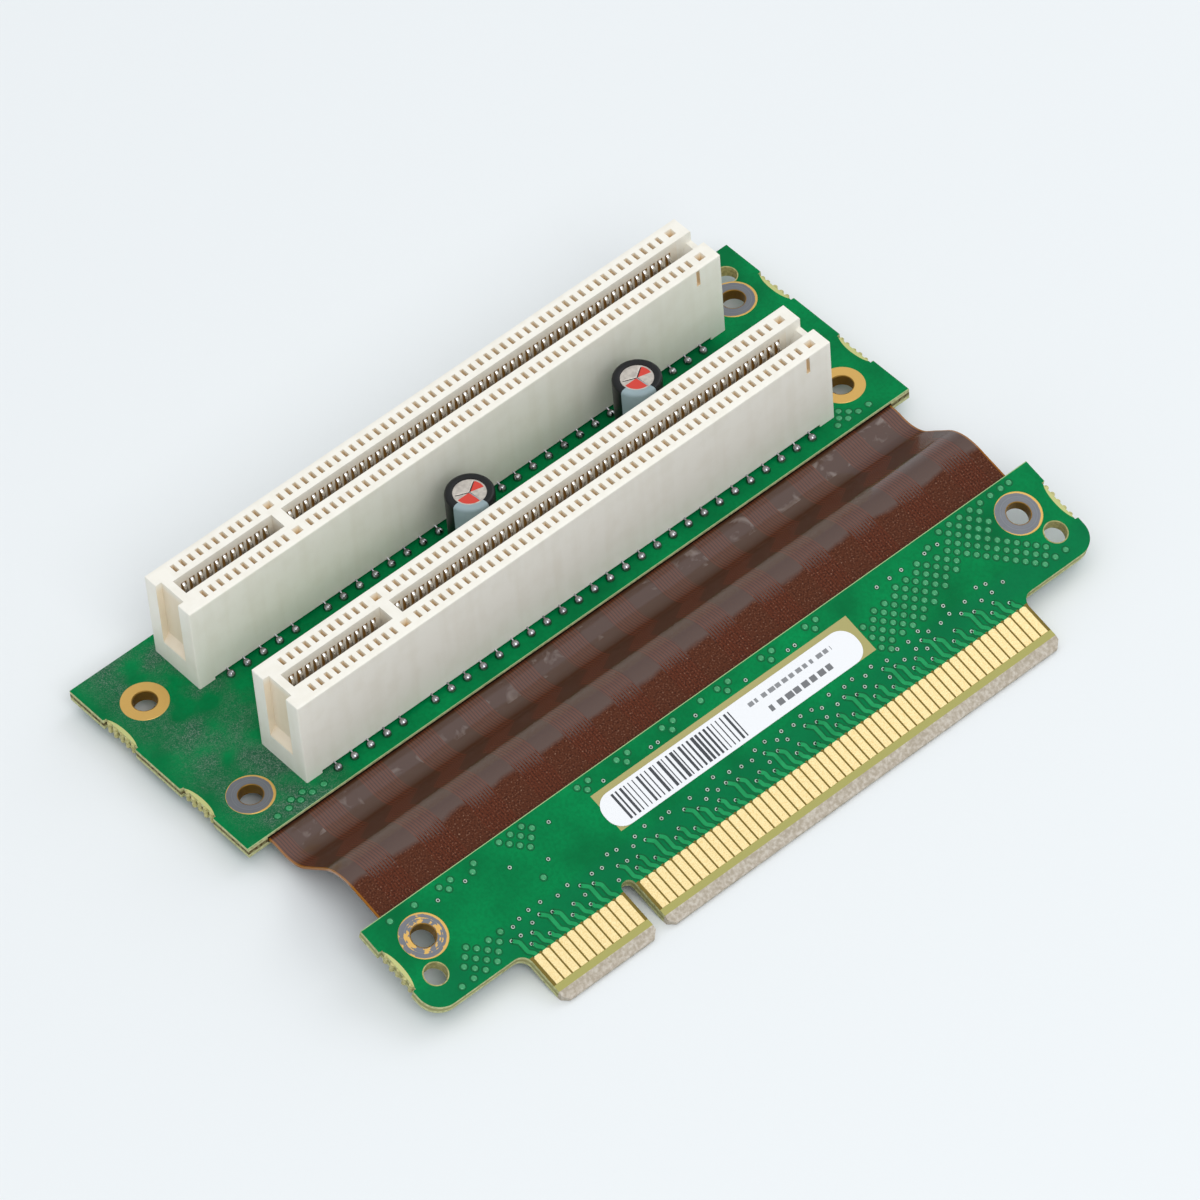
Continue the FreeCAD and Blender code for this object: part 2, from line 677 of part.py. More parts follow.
def label():
    """The paper label on the edge board's top face."""
    body = on_edge_board("label")
    lift = "Sizes.board_thickness / 2"
    outline = new_sketch(body, "XY_Plane", "label_outline", lift, "Places.first_contact + Sizes.label_offset")
    half_length = "Sizes.label_length / 2"
    near = "-Sizes.label_setback - Sizes.label_width / 2"
    far = "-Sizes.label_setback + Sizes.label_width / 2"
    rectangle(outline, f"-{half_length}", half_length, near, far)
    pad(body, outline, "label_sheet", "Sizes.label_thickness")
    middle = "Places.first_contact + Sizes.label_offset"
    ends = (f"{middle} - {half_length}", f"{middle} + {half_length}")
    corners = [(x, y) for x in ends for y in (near, far)]
    dress_corners(body, "Fillet", "label_corners", corners, Radius="Sizes.label_radius")


def check_and_export():
    """Stop on any failed feature or bad shape, then write one STEP file a piece."""
    doc.recompute()
    for item in doc.Objects:
        if "Invalid" in item.State or "Error" in item.State:
            raise RuntimeError(f"{item.Name} failed: {item.State}")
    os.makedirs("parts", exist_ok=True)
    for piece in parts:
        if piece.Shape.isNull() or not piece.Shape.isValid():
            raise RuntimeError(f"{piece.Label} has no valid shape")
    for piece in parts:
        piece.Shape.exportStep(f"parts/{piece.Label}.step")


fill_sheet()
slot_board()
edge_board()
fingers("top_fingers", 1)
fingers("bottom_fingers", -1)
flex_circuit()
label()
for slot, line in (("front_slot", "Places.front_slot"), ("rear_slot", "Places.rear_slot")):
    slot_housing(f"{slot}_housing", line)
    contact_row(f"{slot}_front_contacts", line, "-1")
    contact_row(f"{slot}_rear_contacts", line, "1")
    slot_solder_joints(f"{slot}_solder_joints", line)
for side, x in (("left", "Places.left_capacitor"), ("right", "Places.right_capacitor")):
    capacitor(side, x)
check_and_export()
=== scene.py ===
"""PCI riser card: the finished look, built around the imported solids.

Two green boards, a bent brown flexible circuit between them, two white slots with their springs, two small
capacitors and a paper label. Sizes are in millimetres, and meshes are written in metres.
"""

import logging
import math
import random
from collections.abc import Callable, Iterable, Sequence
from dataclasses import dataclass
from enum import Enum
from functools import lru_cache

import bpy
import numpy as np
from mathutils import Matrix, Vector, noise


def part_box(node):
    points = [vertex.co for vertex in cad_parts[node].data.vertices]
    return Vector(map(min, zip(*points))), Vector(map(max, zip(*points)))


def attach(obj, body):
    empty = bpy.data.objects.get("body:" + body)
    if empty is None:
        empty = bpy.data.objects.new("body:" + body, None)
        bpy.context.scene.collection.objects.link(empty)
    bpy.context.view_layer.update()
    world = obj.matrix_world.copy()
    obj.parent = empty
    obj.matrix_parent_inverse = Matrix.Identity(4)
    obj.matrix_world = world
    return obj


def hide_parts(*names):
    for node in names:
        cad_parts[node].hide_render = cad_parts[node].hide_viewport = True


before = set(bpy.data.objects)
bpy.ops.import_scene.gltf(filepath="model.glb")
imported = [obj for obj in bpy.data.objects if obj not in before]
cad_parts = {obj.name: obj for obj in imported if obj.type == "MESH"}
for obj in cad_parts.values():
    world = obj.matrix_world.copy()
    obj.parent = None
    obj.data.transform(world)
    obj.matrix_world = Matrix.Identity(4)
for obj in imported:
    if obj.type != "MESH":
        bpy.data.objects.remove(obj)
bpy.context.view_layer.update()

log = logging.getLogger("riser_card")

MM = 0.001
BODY = "root"
BOARD_HALF = 0.8
HALF_LENGTH = 53.1
EDGE_TILT = math.radians(17.1)
CONTACT_PITCH = 1.27
SHORT_COUNT = 11
LONG_COUNT = 49
KEY_PITCHES = 3
LONG_START = (SHORT_COUNT - 1 + KEY_PITCHES) * CONTACT_PITCH
KEY_CENTRE = (SHORT_COUNT - 1 + KEY_PITCHES / 2) * CONTACT_PITCH
LAST_CONTACT = LONG_START + (LONG_COUNT - 1) * CONTACT_PITCH
FINGER_HALF = 0.53
FINGER_TOP = -14.79
TAIL_LENGTH = 2.0
CONE_RADIUS = 0.85
CONE_FOOT = 0.02
DIMPLE_REACH = 0.55
DIMPLE_DEPTH = 0.45
NEAR = 1e-3

Node = bpy.types.Node
Socket = bpy.types.NodeSocket
Tree = bpy.types.NodeTree
Mesh = bpy.types.Mesh
Point = Sequence[float]
Spot = tuple[float, float]
Faces = list[tuple[int, ...]]
Solid = tuple[np.ndarray, Faces]
Groups = tuple[tuple[float, int], tuple[float, int]]
Cut = tuple[Spot, Spot, Spot, float]
Four = tuple[float, float, float, float]
Opening = tuple[float, float, float, float, float, str]
ViaRow = tuple[float, float, float, int]
Stop = tuple[float, str]
Edge = tuple[int, int]
Value = str | float | Point | Node | Socket | bpy.types.Material
Inputs = dict[str, Value]
Add = Callable[..., Node]


class Side(Enum):
    """The front or rear half of a slot, by the sign of its y."""

    FRONT = -1
    REAR = 1


class Plating(Enum):
    """What covers the copper ring of a mounting hole."""

    GOLD = "gold"
    SOLDER = "solder"
    WORN = "worn"


class Dot(Enum):
    """The form of a small repeated mark on a board."""

    DOME = "dome"
    DISC = "disc"


def linear(code: str) -> Four:
    """Turn an sRGB hex colour into linear values.

    Args:
        code: six hex digits after a hash sign.

    Returns:
        Linear red, green, blue and an alpha of 1.
    """
    channels = [int(code[place : place + 2], 16) / 255 for place in (1, 3, 5)]
    levels = [c / 12.92 if c <= 0.04045 else ((c + 0.055) / 1.055) ** 2.4 for c in channels]
    return (*levels, 1.0)


def box_mm(node: str) -> tuple[np.ndarray, np.ndarray]:
    """A CAD node's lowest and highest corner in millimetres."""
    low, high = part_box(node)
    return np.array(low) / MM, np.array(high) / MM


def span(middle: float, width: float) -> Spot:
    """Both ends of a stretch, from its middle and its width."""
    return middle - width / 2, middle + width / 2


def contact_groups(first: float) -> Groups:
    """Start and count of the contacts left and right of the key, from the place of the first."""
    return (first, SHORT_COUNT), (first + LONG_START, LONG_COUNT)


class Wiring:
    """Adds nodes to one shader or geometry tree."""

    def __init__(self, tree: Tree) -> None:
        """Keep the tree that the nodes go into."""
        self.tree = tree

    def plug(self, value: Value, socket: Socket) -> None:
        """Link a socket, or a node's first output in use, to an input, or set a value or hex colour on it.

        Args:
            value: what goes in.
            socket: the input.
        """
        if isinstance(value, Node):
            value = next(output for output in value.outputs if output.enabled)
        if isinstance(value, Socket):
            self.tree.links.new(value, socket)
        else:
            socket.default_value = linear(value) if isinstance(value, str) else value

    def add(self, kind: str, *given: Value, stops: Sequence[Stop] = (), **named: Value) -> Node:
        """Add a node with its settings and links.

        Args:
            kind: its type name, where ShaderNode may be left out, and after a dot its operation or data type;
                an operation by itself is a Math node's.
            given: what goes into the inputs in use, in their order.
            stops: place and hex colour of each stop, for a colour ramp.
            named: capitalised input names with underscores for spaces, and the node's own properties.

        Returns:
            The new node.
        """
        kind, _, mode = (f"Math.{kind}" if kind.isupper() else kind).partition(".")
        made = self.tree.nodes.new(kind if "Node" in kind else f"ShaderNode{kind}")
        if mode:
            setattr(made, "operation" if hasattr(made, "operation") else "data_type", mode)
        for name in filter(str.islower, named):
            setattr(made, name, named[name])
        for value, socket in zip(given, [socket for socket in made.inputs if socket.enabled]):
            self.plug(value, socket)
        for name in named:
            if not name.islower():
                self.plug(named[name], made.inputs[name.replace("_", " ")])
        if stops:
            marks = made.color_ramp.elements
            marks.remove(marks[1])
            for place, code in stops:
                mark = marks[0] if place == stops[0][0] else marks.new(place)
                mark.position, mark.color = place, linear(code)
        return made


@dataclass(frozen=True)
class BoardFrame:
    """A board's own axes: x along the card, y across from the edge that holds the film, z up from mid-plane.

    Attributes:
        y: where the film's edge of the board is.
        z: height of the mid-plane at that edge.
        tilt: turn about x, in radians.
    """

    y: float
    z: float
    tilt: float

    def origin(self) -> Point:
        """Where the axes start, in metres."""
        return 0.0, self.y * MM, self.z * MM

    def place(self, points: Iterable[Point]) -> np.ndarray:
        """Turn points in the board's axes into metres in the shared frame.

        Args:
            points: x, y, z in millimetres.

        Returns:
            One row of x, y, z in metres for each point.
        """
        x, y, z = np.asarray(list(points), float).T
        cos, sin = math.cos(self.tilt), math.sin(self.tilt)
        return np.stack([x, self.y + y * cos - z * sin, self.z + y * sin + z * cos], axis=1) * MM

    def coordinates(self, add: Add) -> Node:
        """Nodes that give a shaded point in the board's axes, in millimetres."""
        spot = add("TexCoord").outputs["Object"]
        return add("Mapping", spot, self.origin(), (self.tilt, 0.0, 0.0), (MM,) * 3, vector_type="TEXTURE")


@dataclass(frozen=True)
class Finish:
    """A surface finish that can be made into a material.

    Attributes:
        name: what the real surface is.
    """

    name: str

    @lru_cache(maxsize=None)
    def material(self) -> bpy.types.Material:
        """Make the material once and keep it.

        Returns:
            The material, with its nodes.
        """
        made = bpy.data.materials.new(self.name)
        made.use_nodes = True
        wiring = Wiring(made.node_tree)
        shader = made.node_tree.nodes["Principled BSDF"]
        for name, value in self.paint(wiring.add).items():
            wiring.plug(value, shader.inputs[name.replace("_", " ")])
        return made

    def paint(self, add: Add) -> Inputs:
        """Wire the finish's pattern and give the shader's inputs, with underscores for spaces."""
        raise NotImplementedError


@dataclass(frozen=True)
class CardTable(Finish):
    """Matt white card: a pale even ground with a hardly visible tooth, drawn coarser than the real one."""

    white: str = "#E7EBED"
    tooth_mm: float = 1.2

    def paint(self, add: Add) -> Inputs:
        """Wire the card's tooth.

        Args:
            add: adds a node.

        Returns:
            The shader's inputs.
        """
        spot = add("TexCoord").outputs["Object"]
        grain = add("TexNoise", spot, 1 / (self.tooth_mm * MM), 2.0)
        bump = add("Bump", Height=grain, Strength=0.05, Distance=0.05 * MM)
        return dict(Base_Color=self.white, Roughness=0.8, Specular_IOR_Level=0.2, Normal=bump)


@dataclass(frozen=True)
class MouldedPlastic(Finish):
    """Glass-filled polyester, moulded: off-white and satin, with faint draw lines and painted warm shade in
    its pockets.
    """

    body: str = "#F1EEE4"
    shade: str = "#EBE7DB"
    pocket: str = "#DDB054"
    mottle_mm: float = 2.4
    draw_line_mm: float = 1.4
    draw_stretch: float = 0.06

    def paint(self, add: Add) -> Inputs:
        """Wire the mottle, the draw lines and the painted shade in the pockets.

        Args:
            add: adds a node.

        Returns:
            The shader's inputs.
        """
        spot = add("TexCoord").outputs["Object"]
        mottle = add("TexNoise", spot, 1 / (self.mottle_mm * MM), 4.0)
        drawn = add("Mapping", spot, Scale=(1.0, 1.0, self.draw_stretch))
        lines = add("TexNoise", drawn, 1 / (self.draw_line_mm * MM), 2.0)
        blend = add("MULTIPLY", mottle, lines)
        colour = add("ValToRGB", blend, stops=((0.08, self.shade), (0.3, self.body)))
        # Painted shade: the pockets' walls turn warm and darker with depth, by the mesh's pocket attribute.
        depth = add("Attribute", attribute_name="pocket").outputs["Fac"]
        colour = add("Mix.RGBA", depth, colour, self.pocket)
        bump = add("Bump", Height=blend, Strength=0.2, Distance=0.02 * MM)
        return dict(Base_Color=colour, Normal=bump, Roughness=0.42, IOR=1.55)


@dataclass(frozen=True)
class MaskedLaminate(Finish):
    """A glass-epoxy board under glossy green solder mask: deep green faces, darker where the copper sheet is
    etched away, pale fibrous sides, a pale line where the mask ends that is partly a painted highlight along
    that edge, and painted dark shade on the side below the film's gap.

    Attributes:
        bare: openings in the mask as centre x, centre y, half length, half width, lowest z and colour.
        bite_mid: y half way between the break-off marks of a short side.
        bite_half_spacing: half the distance between those marks.
        bite_reach: half axes of the bare half ovals round the marks, across and along the side.
        haze: how strongly dried flux and dust dull the left end.
        haze_reach: how far from haze_middle it is gone, and how far it is full.
        sparse: centre y and half width of the strip with no copper sheet under the mask.
        film_end: y of the edge that holds the film, where the mask's pale end is also a painted highlight.
        film_half: half the width of the gap that the film comes out of, where the side gets a painted dark
            shade.
        bevel_start: y past which the sides are the ground bevel of the card edge.
        film_line: colour of the film's layer in the cut sides.
        skin: depth below the faces at which the sides begin.
    """

    axes: BoardFrame
    bare: tuple[Opening, ...] = ()
    bite_mid: float = 0.0
    bite_half_spacing: float = 0.0
    bite_reach: Spot = (1.0, 3.15)
    haze: float = 0.0
    haze_middle: float = -44.3
    haze_reach: Spot = (8.5, 3.5)
    sparse: Spot = (0.0, 0.0)
    sparse_fade: float = 1.6
    film_end: float = 0.0
    film_half: float = 50.1
    lip: float = 0.3
    bevel_start: float = -99.0
    film_line: str = "#4A3421"
    mask: str = "#007841"
    mask_light: str = "#00884A"
    mask_dark: str = "#006335"
    mask_end_and_highlight: str = "#9DB884"
    etched: str = "#046B40"
    dust: str = "#8A988C"
    stain: str = "#1E5A3C"
    laminate: str = "#C3C495"
    resin: str = "#9A9B6C"
    film_gap_shadow: str = "#1D160F"
    bare_edge: str = "#BDBF80"
    bevel: str = "#B8AFA1"
    bevel_dark: str = "#A89E8E"
    bevel_light: str = "#C4BDB1"
    end_width: float = 0.1
    skin: float = 0.012
    cloud_mm: float = 9.0
    weave_mm: float = 0.45
    patch_mm: float = 6.0
    hair_mm: float = 0.4

    def paint(self, add: Add) -> Inputs:
        """Wire the mask, its openings, the haze and the bare sides.

        Args:
            add: adds a node.

        Returns:
            The shader's inputs.
        """
        local = self.axes.coordinates(add)
        x, y, z = add("SeparateXYZ", local).outputs
        cloud = add("TexNoise", local, 1 / self.cloud_mm, 3.0)
        weave = add("TexNoise", local, 1 / self.weave_mm, 3.0)
        patch = add("TexNoise", local, 1 / self.patch_mm, 2.0)
        hair = add("TexNoise", local, 1 / self.hair_mm, 4.0, 0.65, Distortion=2.5)
        threads = add("MapRange", weave, 0.4, 0.65, 0.0, 0.35)
        strip_y, strip_half = self.sparse
        from_strip = add("ABSOLUTE", add("SUBTRACT", y, strip_y))
        strip = add("MapRange", from_strip, strip_half - self.sparse_fade, strip_half, 0.6, 0.0)
        from_haze = add("ABSOLUTE", add("SUBTRACT", x, self.haze_middle))
        dull = add("MapRange", from_haze, *self.haze_reach, 0.0, self.haze)
        spread = add("MapRange", patch, 0.38, 0.6)
        streaks = add("MULTIPLY", spread, add("MapRange", hair, 0.47, 0.72, 0.0, 0.9))
        settled = add("MULTIPLY", dull, streaks)
        stained = add("MULTIPLY", dull, spread)
        # A pale line along the film's edge: partly the mask's thin end, partly a painted highlight on that
        # edge.
        ended = add("COMPARE", y, self.film_end, self.end_width)
        coats = [(threads, self.mask_dark), (strip, self.etched), (stained, self.stain), (settled, self.dust)]
        coats.append((ended, self.mask_end_and_highlight))
        for centre_x, centre_y, half_x, half_y, lowest, code in self.bare:
            along = add("COMPARE", x, centre_x, half_x)
            across = add("COMPARE", y, centre_y, half_y)
            above = add("GREATER_THAN", z, lowest)
            inside = add("MULTIPLY", along, across)
            coats.append((add("MULTIPLY", inside, above), code))
        coats.append((self.bites(add, x, y), self.bare_edge))
        greens = ((0.3, self.mask_dark), (0.5, self.mask), (0.75, self.mask_light))
        colour = add("ValToRGB", cloud, stops=greens)
        for factor, code in coats:
            colour = add("Mix.RGBA", factor, colour, code)

        height = add("ABSOLUTE", z)
        side = add("LESS_THAN", height, BOARD_HALF - self.skin)
        # Painted shadow: the side face below the mask's lip, where the film comes out, is painted near black.
        front = add("COMPARE", y, self.film_end, 0.02)
        below = add("LESS_THAN", height, BOARD_HALF - self.lip)
        beside = add("COMPARE", x, 0.0, self.film_half)
        shadowed_mouth = add("MULTIPLY", add("MULTIPLY", front, below), beside)
        ground = add("LESS_THAN", y, self.bevel_start)
        greys = ((0.0, self.bevel_dark), (0.55, self.bevel), (1.0, self.bevel_light))
        sanded = add("ValToRGB", add("MapRange", weave, 0.38, 0.66), stops=greys)
        layers = ((0.0, self.film_line), (0.2, self.film_line), (0.34, self.laminate))
        fibres = add("ValToRGB", height, stops=layers)
        speckle = add("MapRange", weave, 0.4, 0.7)
        for factor, upper in ((speckle, self.resin), (shadowed_mouth, self.film_gap_shadow), (ground, sanded)):
            fibres = add("Mix.RGBA", factor, fibres, upper)
        colour = add("Mix.RGBA", side, colour, fibres)
        gloss = add("MapRange", add("MAXIMUM", side, settled), 0.0, 1.0, 0.28, 0.75)
        bump = add("Bump", Height=weave, Strength=0.25, Distance=0.012 * MM)
        return dict(Base_Color=colour, Roughness=gloss, Normal=bump, Specular_IOR_Level=0.06)

    def bites(self, add: Add, x: Socket, y: Socket) -> Node:
        """Where the mask stops short round the break-off marks on the short sides.

        Args:
            add: adds a node.
            x: place along the board.
            y: place across the board.

        Returns:
            A node that gives 1 inside the half ovals round the marks.
        """
        inset = add("SUBTRACT", add("ABSOLUTE", x), HALF_LENGTH)
        from_mid = add("ABSOLUTE", add("SUBTRACT", y, self.bite_mid))
        shifted = add("SUBTRACT", from_mid, self.bite_half_spacing)
        short, long = (
            add("DIVIDE", way, reach) for way, reach in zip((inset, shifted), self.bite_reach)
        )
        distance = add("VectorMath.LENGTH", add("CombineXYZ", short, long))
        return add("LESS_THAN", distance, 1.0)


@dataclass(frozen=True)
class MaskFilm(Finish):
    """Solder mask or bare resin in a thin film: a smooth colour, slightly clouded by what lies under it."""

    code: str
    light: str
    roughness: float = 0.28
    cloud_mm: float = 1.4
    gloss: float = 0.3

    def paint(self, add: Add) -> Inputs:
        """Wire a slight cloudiness between the two colours.

        Args:
            add: adds a node.

        Returns:
            The shader's inputs.
        """
        spot = add("TexCoord").outputs["Object"]
        cloud = add("TexNoise", spot, 1 / (self.cloud_mm * MM), 3.0)
        colour = add("ValToRGB", cloud, stops=((0.35, self.code), (0.65, self.light)))
        return dict(Base_Color=colour, Roughness=self.roughness, Specular_IOR_Level=self.gloss)


@dataclass(frozen=True)
class Plate(Finish):
    """A plated metal surface: gold, tin or solder, uneven in colour and gloss. The real grain is too fine to
    show, so it is drawn coarser."""

    code: str
    shade: str
    roughness: float = 0.32
    grain_mm: float = 0.35
    grain_depth: float = 0.012
    metallic: float = 1.0

    def paint(self, add: Add) -> Inputs:
        """Wire the grain into the colour, the gloss and the surface.

        Args:
            add: adds a node.

        Returns:
            The shader's inputs.
        """
        spot = add("TexCoord").outputs["Object"]
        grain = add("TexNoise", spot, 1 / (self.grain_mm * MM), 5.0)
        colour = add("ValToRGB", grain, stops=((0.3, self.shade), (0.62, self.code)))
        gloss = add("MapRange", grain, 0.0, 1.0, self.roughness * 0.7, self.roughness * 1.4)
        bump = add("Bump", Height=grain, Strength=0.35, Distance=self.grain_depth * MM)
        return dict(Base_Color=colour, Metallic=self.metallic, Roughness=gloss, Normal=bump)


@dataclass(frozen=True)
class RingPlating(Finish):
    """The plated ring of a mounting hole: dull gold, or dipped solder that leaves a gold rim and wears back
    to gold where a screw head has turned.

    Attributes:
        rim_start: distance from the hole's middle at which the dipped solder ends.
        worn_zone: distances between which the wear fades out.
        worn_level: how strong the wear's pattern has to be to bare the gold.
    """

    plating: Plating
    gold: str = "#D9B063"
    solder: str = "#74777D"
    scuff: str = "#7E8186"
    barrel: str = "#8C6A2A"
    rim_start: float = 2.98
    land_start: float = 1.66
    worn_zone: Spot = (1.6, 2.6)
    worn_level: float = 0.81
    patch_mm: float = 0.8
    turn_mm: float = 0.3

    def paint(self, add: Add) -> Inputs:
        """Wire the metals by their distance from the hole's middle.

        Args:
            add: adds a node.

        Returns:
            The shader's inputs.
        """
        radius, dip = (add("Attribute", attribute_name=word).outputs["Fac"] for word in ("radius", "dip"))
        spot = add("TexCoord").outputs["Object"]
        patches = add("TexNoise", spot, 1 / (self.patch_mm * MM), 5.0)
        turns = add("TexNoise", radius, 1 / self.turn_mm, 2.0, noise_dimensions="1D")
        ragged = add("MULTIPLY_ADD", patches, 0.25, dip)
        bare = add("GREATER_THAN", ragged, self.rim_start)
        if self.plating is Plating.GOLD:
            bare = 1.0
        elif self.plating is Plating.WORN:
            near_hole = add("MapRange", radius, *self.worn_zone, 0.1, -0.08)
            turned = add("MULTIPLY_ADD", turns, 0.5, patches)
            worn = add("ADD", turned, near_hole)
            bare = add("MAXIMUM", bare, add("GREATER_THAN", worn, self.worn_level))
        scuffed = add("MapRange", turns, 0.45, 0.75)
        dipped = add("Mix.RGBA", scuffed, self.solder, self.scuff)
        land = add("Mix.RGBA", bare, dipped, self.gold)
        inside = add("LESS_THAN", radius, self.land_start)
        colour = add("Mix.RGBA", inside, land, self.barrel)
        gloss = add("MapRange", patches, 0.0, 1.0, 0.34, 0.6)
        rough = add("ADD", turns, patches)
        bump = add("Bump", Height=rough, Strength=0.35, Distance=0.025 * MM)
        return dict(Base_Color=colour, Metallic=0.75, Roughness=gloss, Normal=bump)


@dataclass(frozen=True)
class PolyimideFilm(Finish):
    """Brown polyimide film over etched copper: mirror-smooth where it is free, with groups of fine lines,
    blistered beside the slot board, dull and pebbled with painted glints beside the edge board, and amber at
    its cut edges.
    The lines and pebbles are drawn coarser than real ones, so that they show. Distances run along the sheet
    from the slot board's edge.

    Attributes:
        group_mm: spacing of the line groups.
        slant: where the lines' sideways shift begins and ends, and how far it goes.
        blister_zone: where the blisters begin and end.
        pressed_start: where the dull pebbled zone begins.
        slope_gloss: how much the free length shines, by its share of that length.
    """

    body: str = "#442617"
    line: str = "#24110A"
    band: str = "#6A3520"
    blister: str = "#8A7D77"
    pressed: str = "#542B19"
    pressed_band: str = "#5C2C19"
    pebble: str = "#38190D"
    painted_glint: str = "#8F6F5C"
    edge: str = "#8F5A18"
    group_mm: float = 7.65
    group_share: float = 0.5
    group_start: float = 1.9
    line_mm: float = 0.4
    slant: tuple[float, float, float] = (7.5, 11.0, 3.4)
    blister_zone: Spot = (0.6, 3.6)
    blister_mm: float = 3.0
    pressed_start: float = 18.4
    pressed_fade: float = 0.7
    wander_mm: float = 4.0
    pebble_mm: float = 0.22
    half_width: float = 50.0
    edge_width: float = 0.2
    free_length: float = 23.3
    slope_gloss: tuple[Stop, ...] = (
        (0.18, "#FFFFFF"), (0.24, "#909090"), (0.55, "#909090"), (0.6, "#FFFFFF"),
    )

    def paint(self, add: Add) -> Inputs:
        """Wire the line groups, the blisters, the pressed zone and the cut edges.

        Args:
            add: adds a node.

        Returns:
            The shader's inputs.
        """
        sheet = add("UVMap", uv_map="sheet")
        place = add("SeparateXYZ", sheet).outputs
        x, along = (add("MULTIPLY", place[axis], 1 / MM) for axis in "XY")
        begin, end, shift = self.slant
        aside = add("MapRange", along, begin, end, -self.group_start, shift - self.group_start)
        lane = add("ADD", x, aside)
        share = add("FRACT", add("DIVIDE", lane, self.group_mm))
        grouped = add("LESS_THAN", share, self.group_share)
        wave = add("SINE", add("MULTIPLY", lane, 2 * math.pi / self.line_mm))
        ridge = add("MULTIPLY", wave, grouped)
        groove = add("MapRange", ridge, 0.1, 0.7, 0.0, 0.7)
        warm = add("MULTIPLY", grouped, 0.55)

        patch = add("TexNoise", sheet, 1 / (self.blister_mm * MM), 3.0, Distortion=1.2)
        pale = add("MapRange", patch, 0.56, 0.72)
        first, last = self.blister_zone
        zone = add("COMPARE", along, (first + last) / 2, (last - first) / 2)
        open_lane = add("SUBTRACT", zone, grouped, use_clamp=True)
        blistered = add("MULTIPLY", pale, open_lane)
        half_blistered = add("MULTIPLY", blistered, 0.6)

        comb = add("MULTIPLY_ADD", ridge, -0.9, along)
        wander = add("TexNoise", sheet, 1 / (self.wander_mm * MM), 2.0)
        front = add("MULTIPLY_ADD", wander, 1.6, comb)
        pressed = add("MapRange", front, self.pressed_start, self.pressed_start + self.pressed_fade)
        grain = add("TexNoise", sheet, 1 / (self.pebble_mm * MM), 3.0)
        crumb = add("MapRange", grain, 0.52, 0.34)
        # Painted glints: pale specks among the pebbles stand in for small sparkles of light.
        glint_speck = add("MapRange", grain, 0.61, 0.74)
        faint = add("MULTIPLY", groove, 0.5)
        dull = self.pressed
        coats = ((grouped, self.pressed_band), (crumb, self.pebble), (glint_speck, self.painted_glint), (faint, self.line))
        for factor, code in coats:
            dull = add("Mix.RGBA", factor, dull, code)

        reach = add("ABSOLUTE", x)
        cut = add("GREATER_THAN", reach, self.half_width - self.edge_width)
        colour = self.body
        coats = ((warm, self.band), (groove, self.line), (half_blistered, self.blister), (pressed, dull))
        for factor, upper in (*coats, (cut, self.edge)):
            colour = add("Mix.RGBA", factor, colour, upper)
        pebbled = add("MULTIPLY", pressed, grain)
        rise = add("MULTIPLY_ADD", pebbled, 2.0, ridge)
        swell = add("MULTIPLY_ADD", blistered, 3.0, rise)
        bump = add("Bump", Height=swell, Strength=0.22, Distance=0.008 * MM)
        smooth = add("MapRange", pressed, 0.0, 1.0, 1.0, 0.03)
        dimmed = add("MULTIPLY_ADD", grouped, -0.12, 1.0)
        gloss = add("MULTIPLY", smooth, dimmed)
        course = add("DIVIDE", along, self.free_length)
        coat = add("MULTIPLY", gloss, add("ValToRGB", course, stops=self.slope_gloss))
        surface = dict(Base_Color=colour, Roughness=0.5, Specular_IOR_Level=0.08, Normal=bump)
        return surface | dict(Coat_Weight=coat, Coat_IOR=1.7, Coat_Roughness=0.09, Coat_Normal=bump)


@dataclass(frozen=True)
class CapacitorFinish(Finish):
    """A finish whose pattern goes round a capacitor.

    Attributes:
        x: the capacitor's own place along the card.
        y: and across it.
    """

    x: float
    y: float

    def polar(self, add: Add) -> tuple[Socket, Node, Node]:
        """Nodes that place a shaded point round the capacitor.

        Args:
            add: adds a node.

        Returns:
            The point itself, its offset from the axis in millimetres and its angle.
        """
        spot = add("TexCoord").outputs["Object"]
        centred = add("Mapping", spot, (-self.x * MM, -self.y * MM, 0.0))
        offset = add("VectorMath.MULTIPLY", centred, (1 / MM, 1 / MM, 0.0))
        east, north, _ = add("SeparateXYZ", offset).outputs
        return spot, offset, add("ARCTAN2", north, east)


@dataclass(frozen=True)
class CapacitorSleeve(CapacitorFinish):
    """Shrunk PVC sleeve: black and satin, with a broad pale stripe that runs up the side and over the rim.
    Its grain is drawn coarser than the real one."""

    body: str = "#101214"
    stripe: str = "#93A6AC"
    stripe_middle: float = -2.2
    stripe_half: float = 0.76
    grain_mm: float = 0.5

    def paint(self, add: Add) -> Inputs:
        """Wire the stripe by its angle round the capacitor.

        Args:
            add: adds a node.

        Returns:
            The shader's inputs.
        """
        spot, _, angle = self.polar(add)
        band = add("COMPARE", angle, self.stripe_middle, self.stripe_half)
        colour = add("Mix.RGBA", band, self.body, self.stripe)
        grain = add("TexNoise", spot, 1 / (self.grain_mm * MM), 3.0)
        bump = add("Bump", Height=grain, Strength=0.2, Distance=0.02 * MM)
        return dict(Base_Color=colour, Roughness=0.36, Normal=bump, Specular_IOR_Level=0.3)


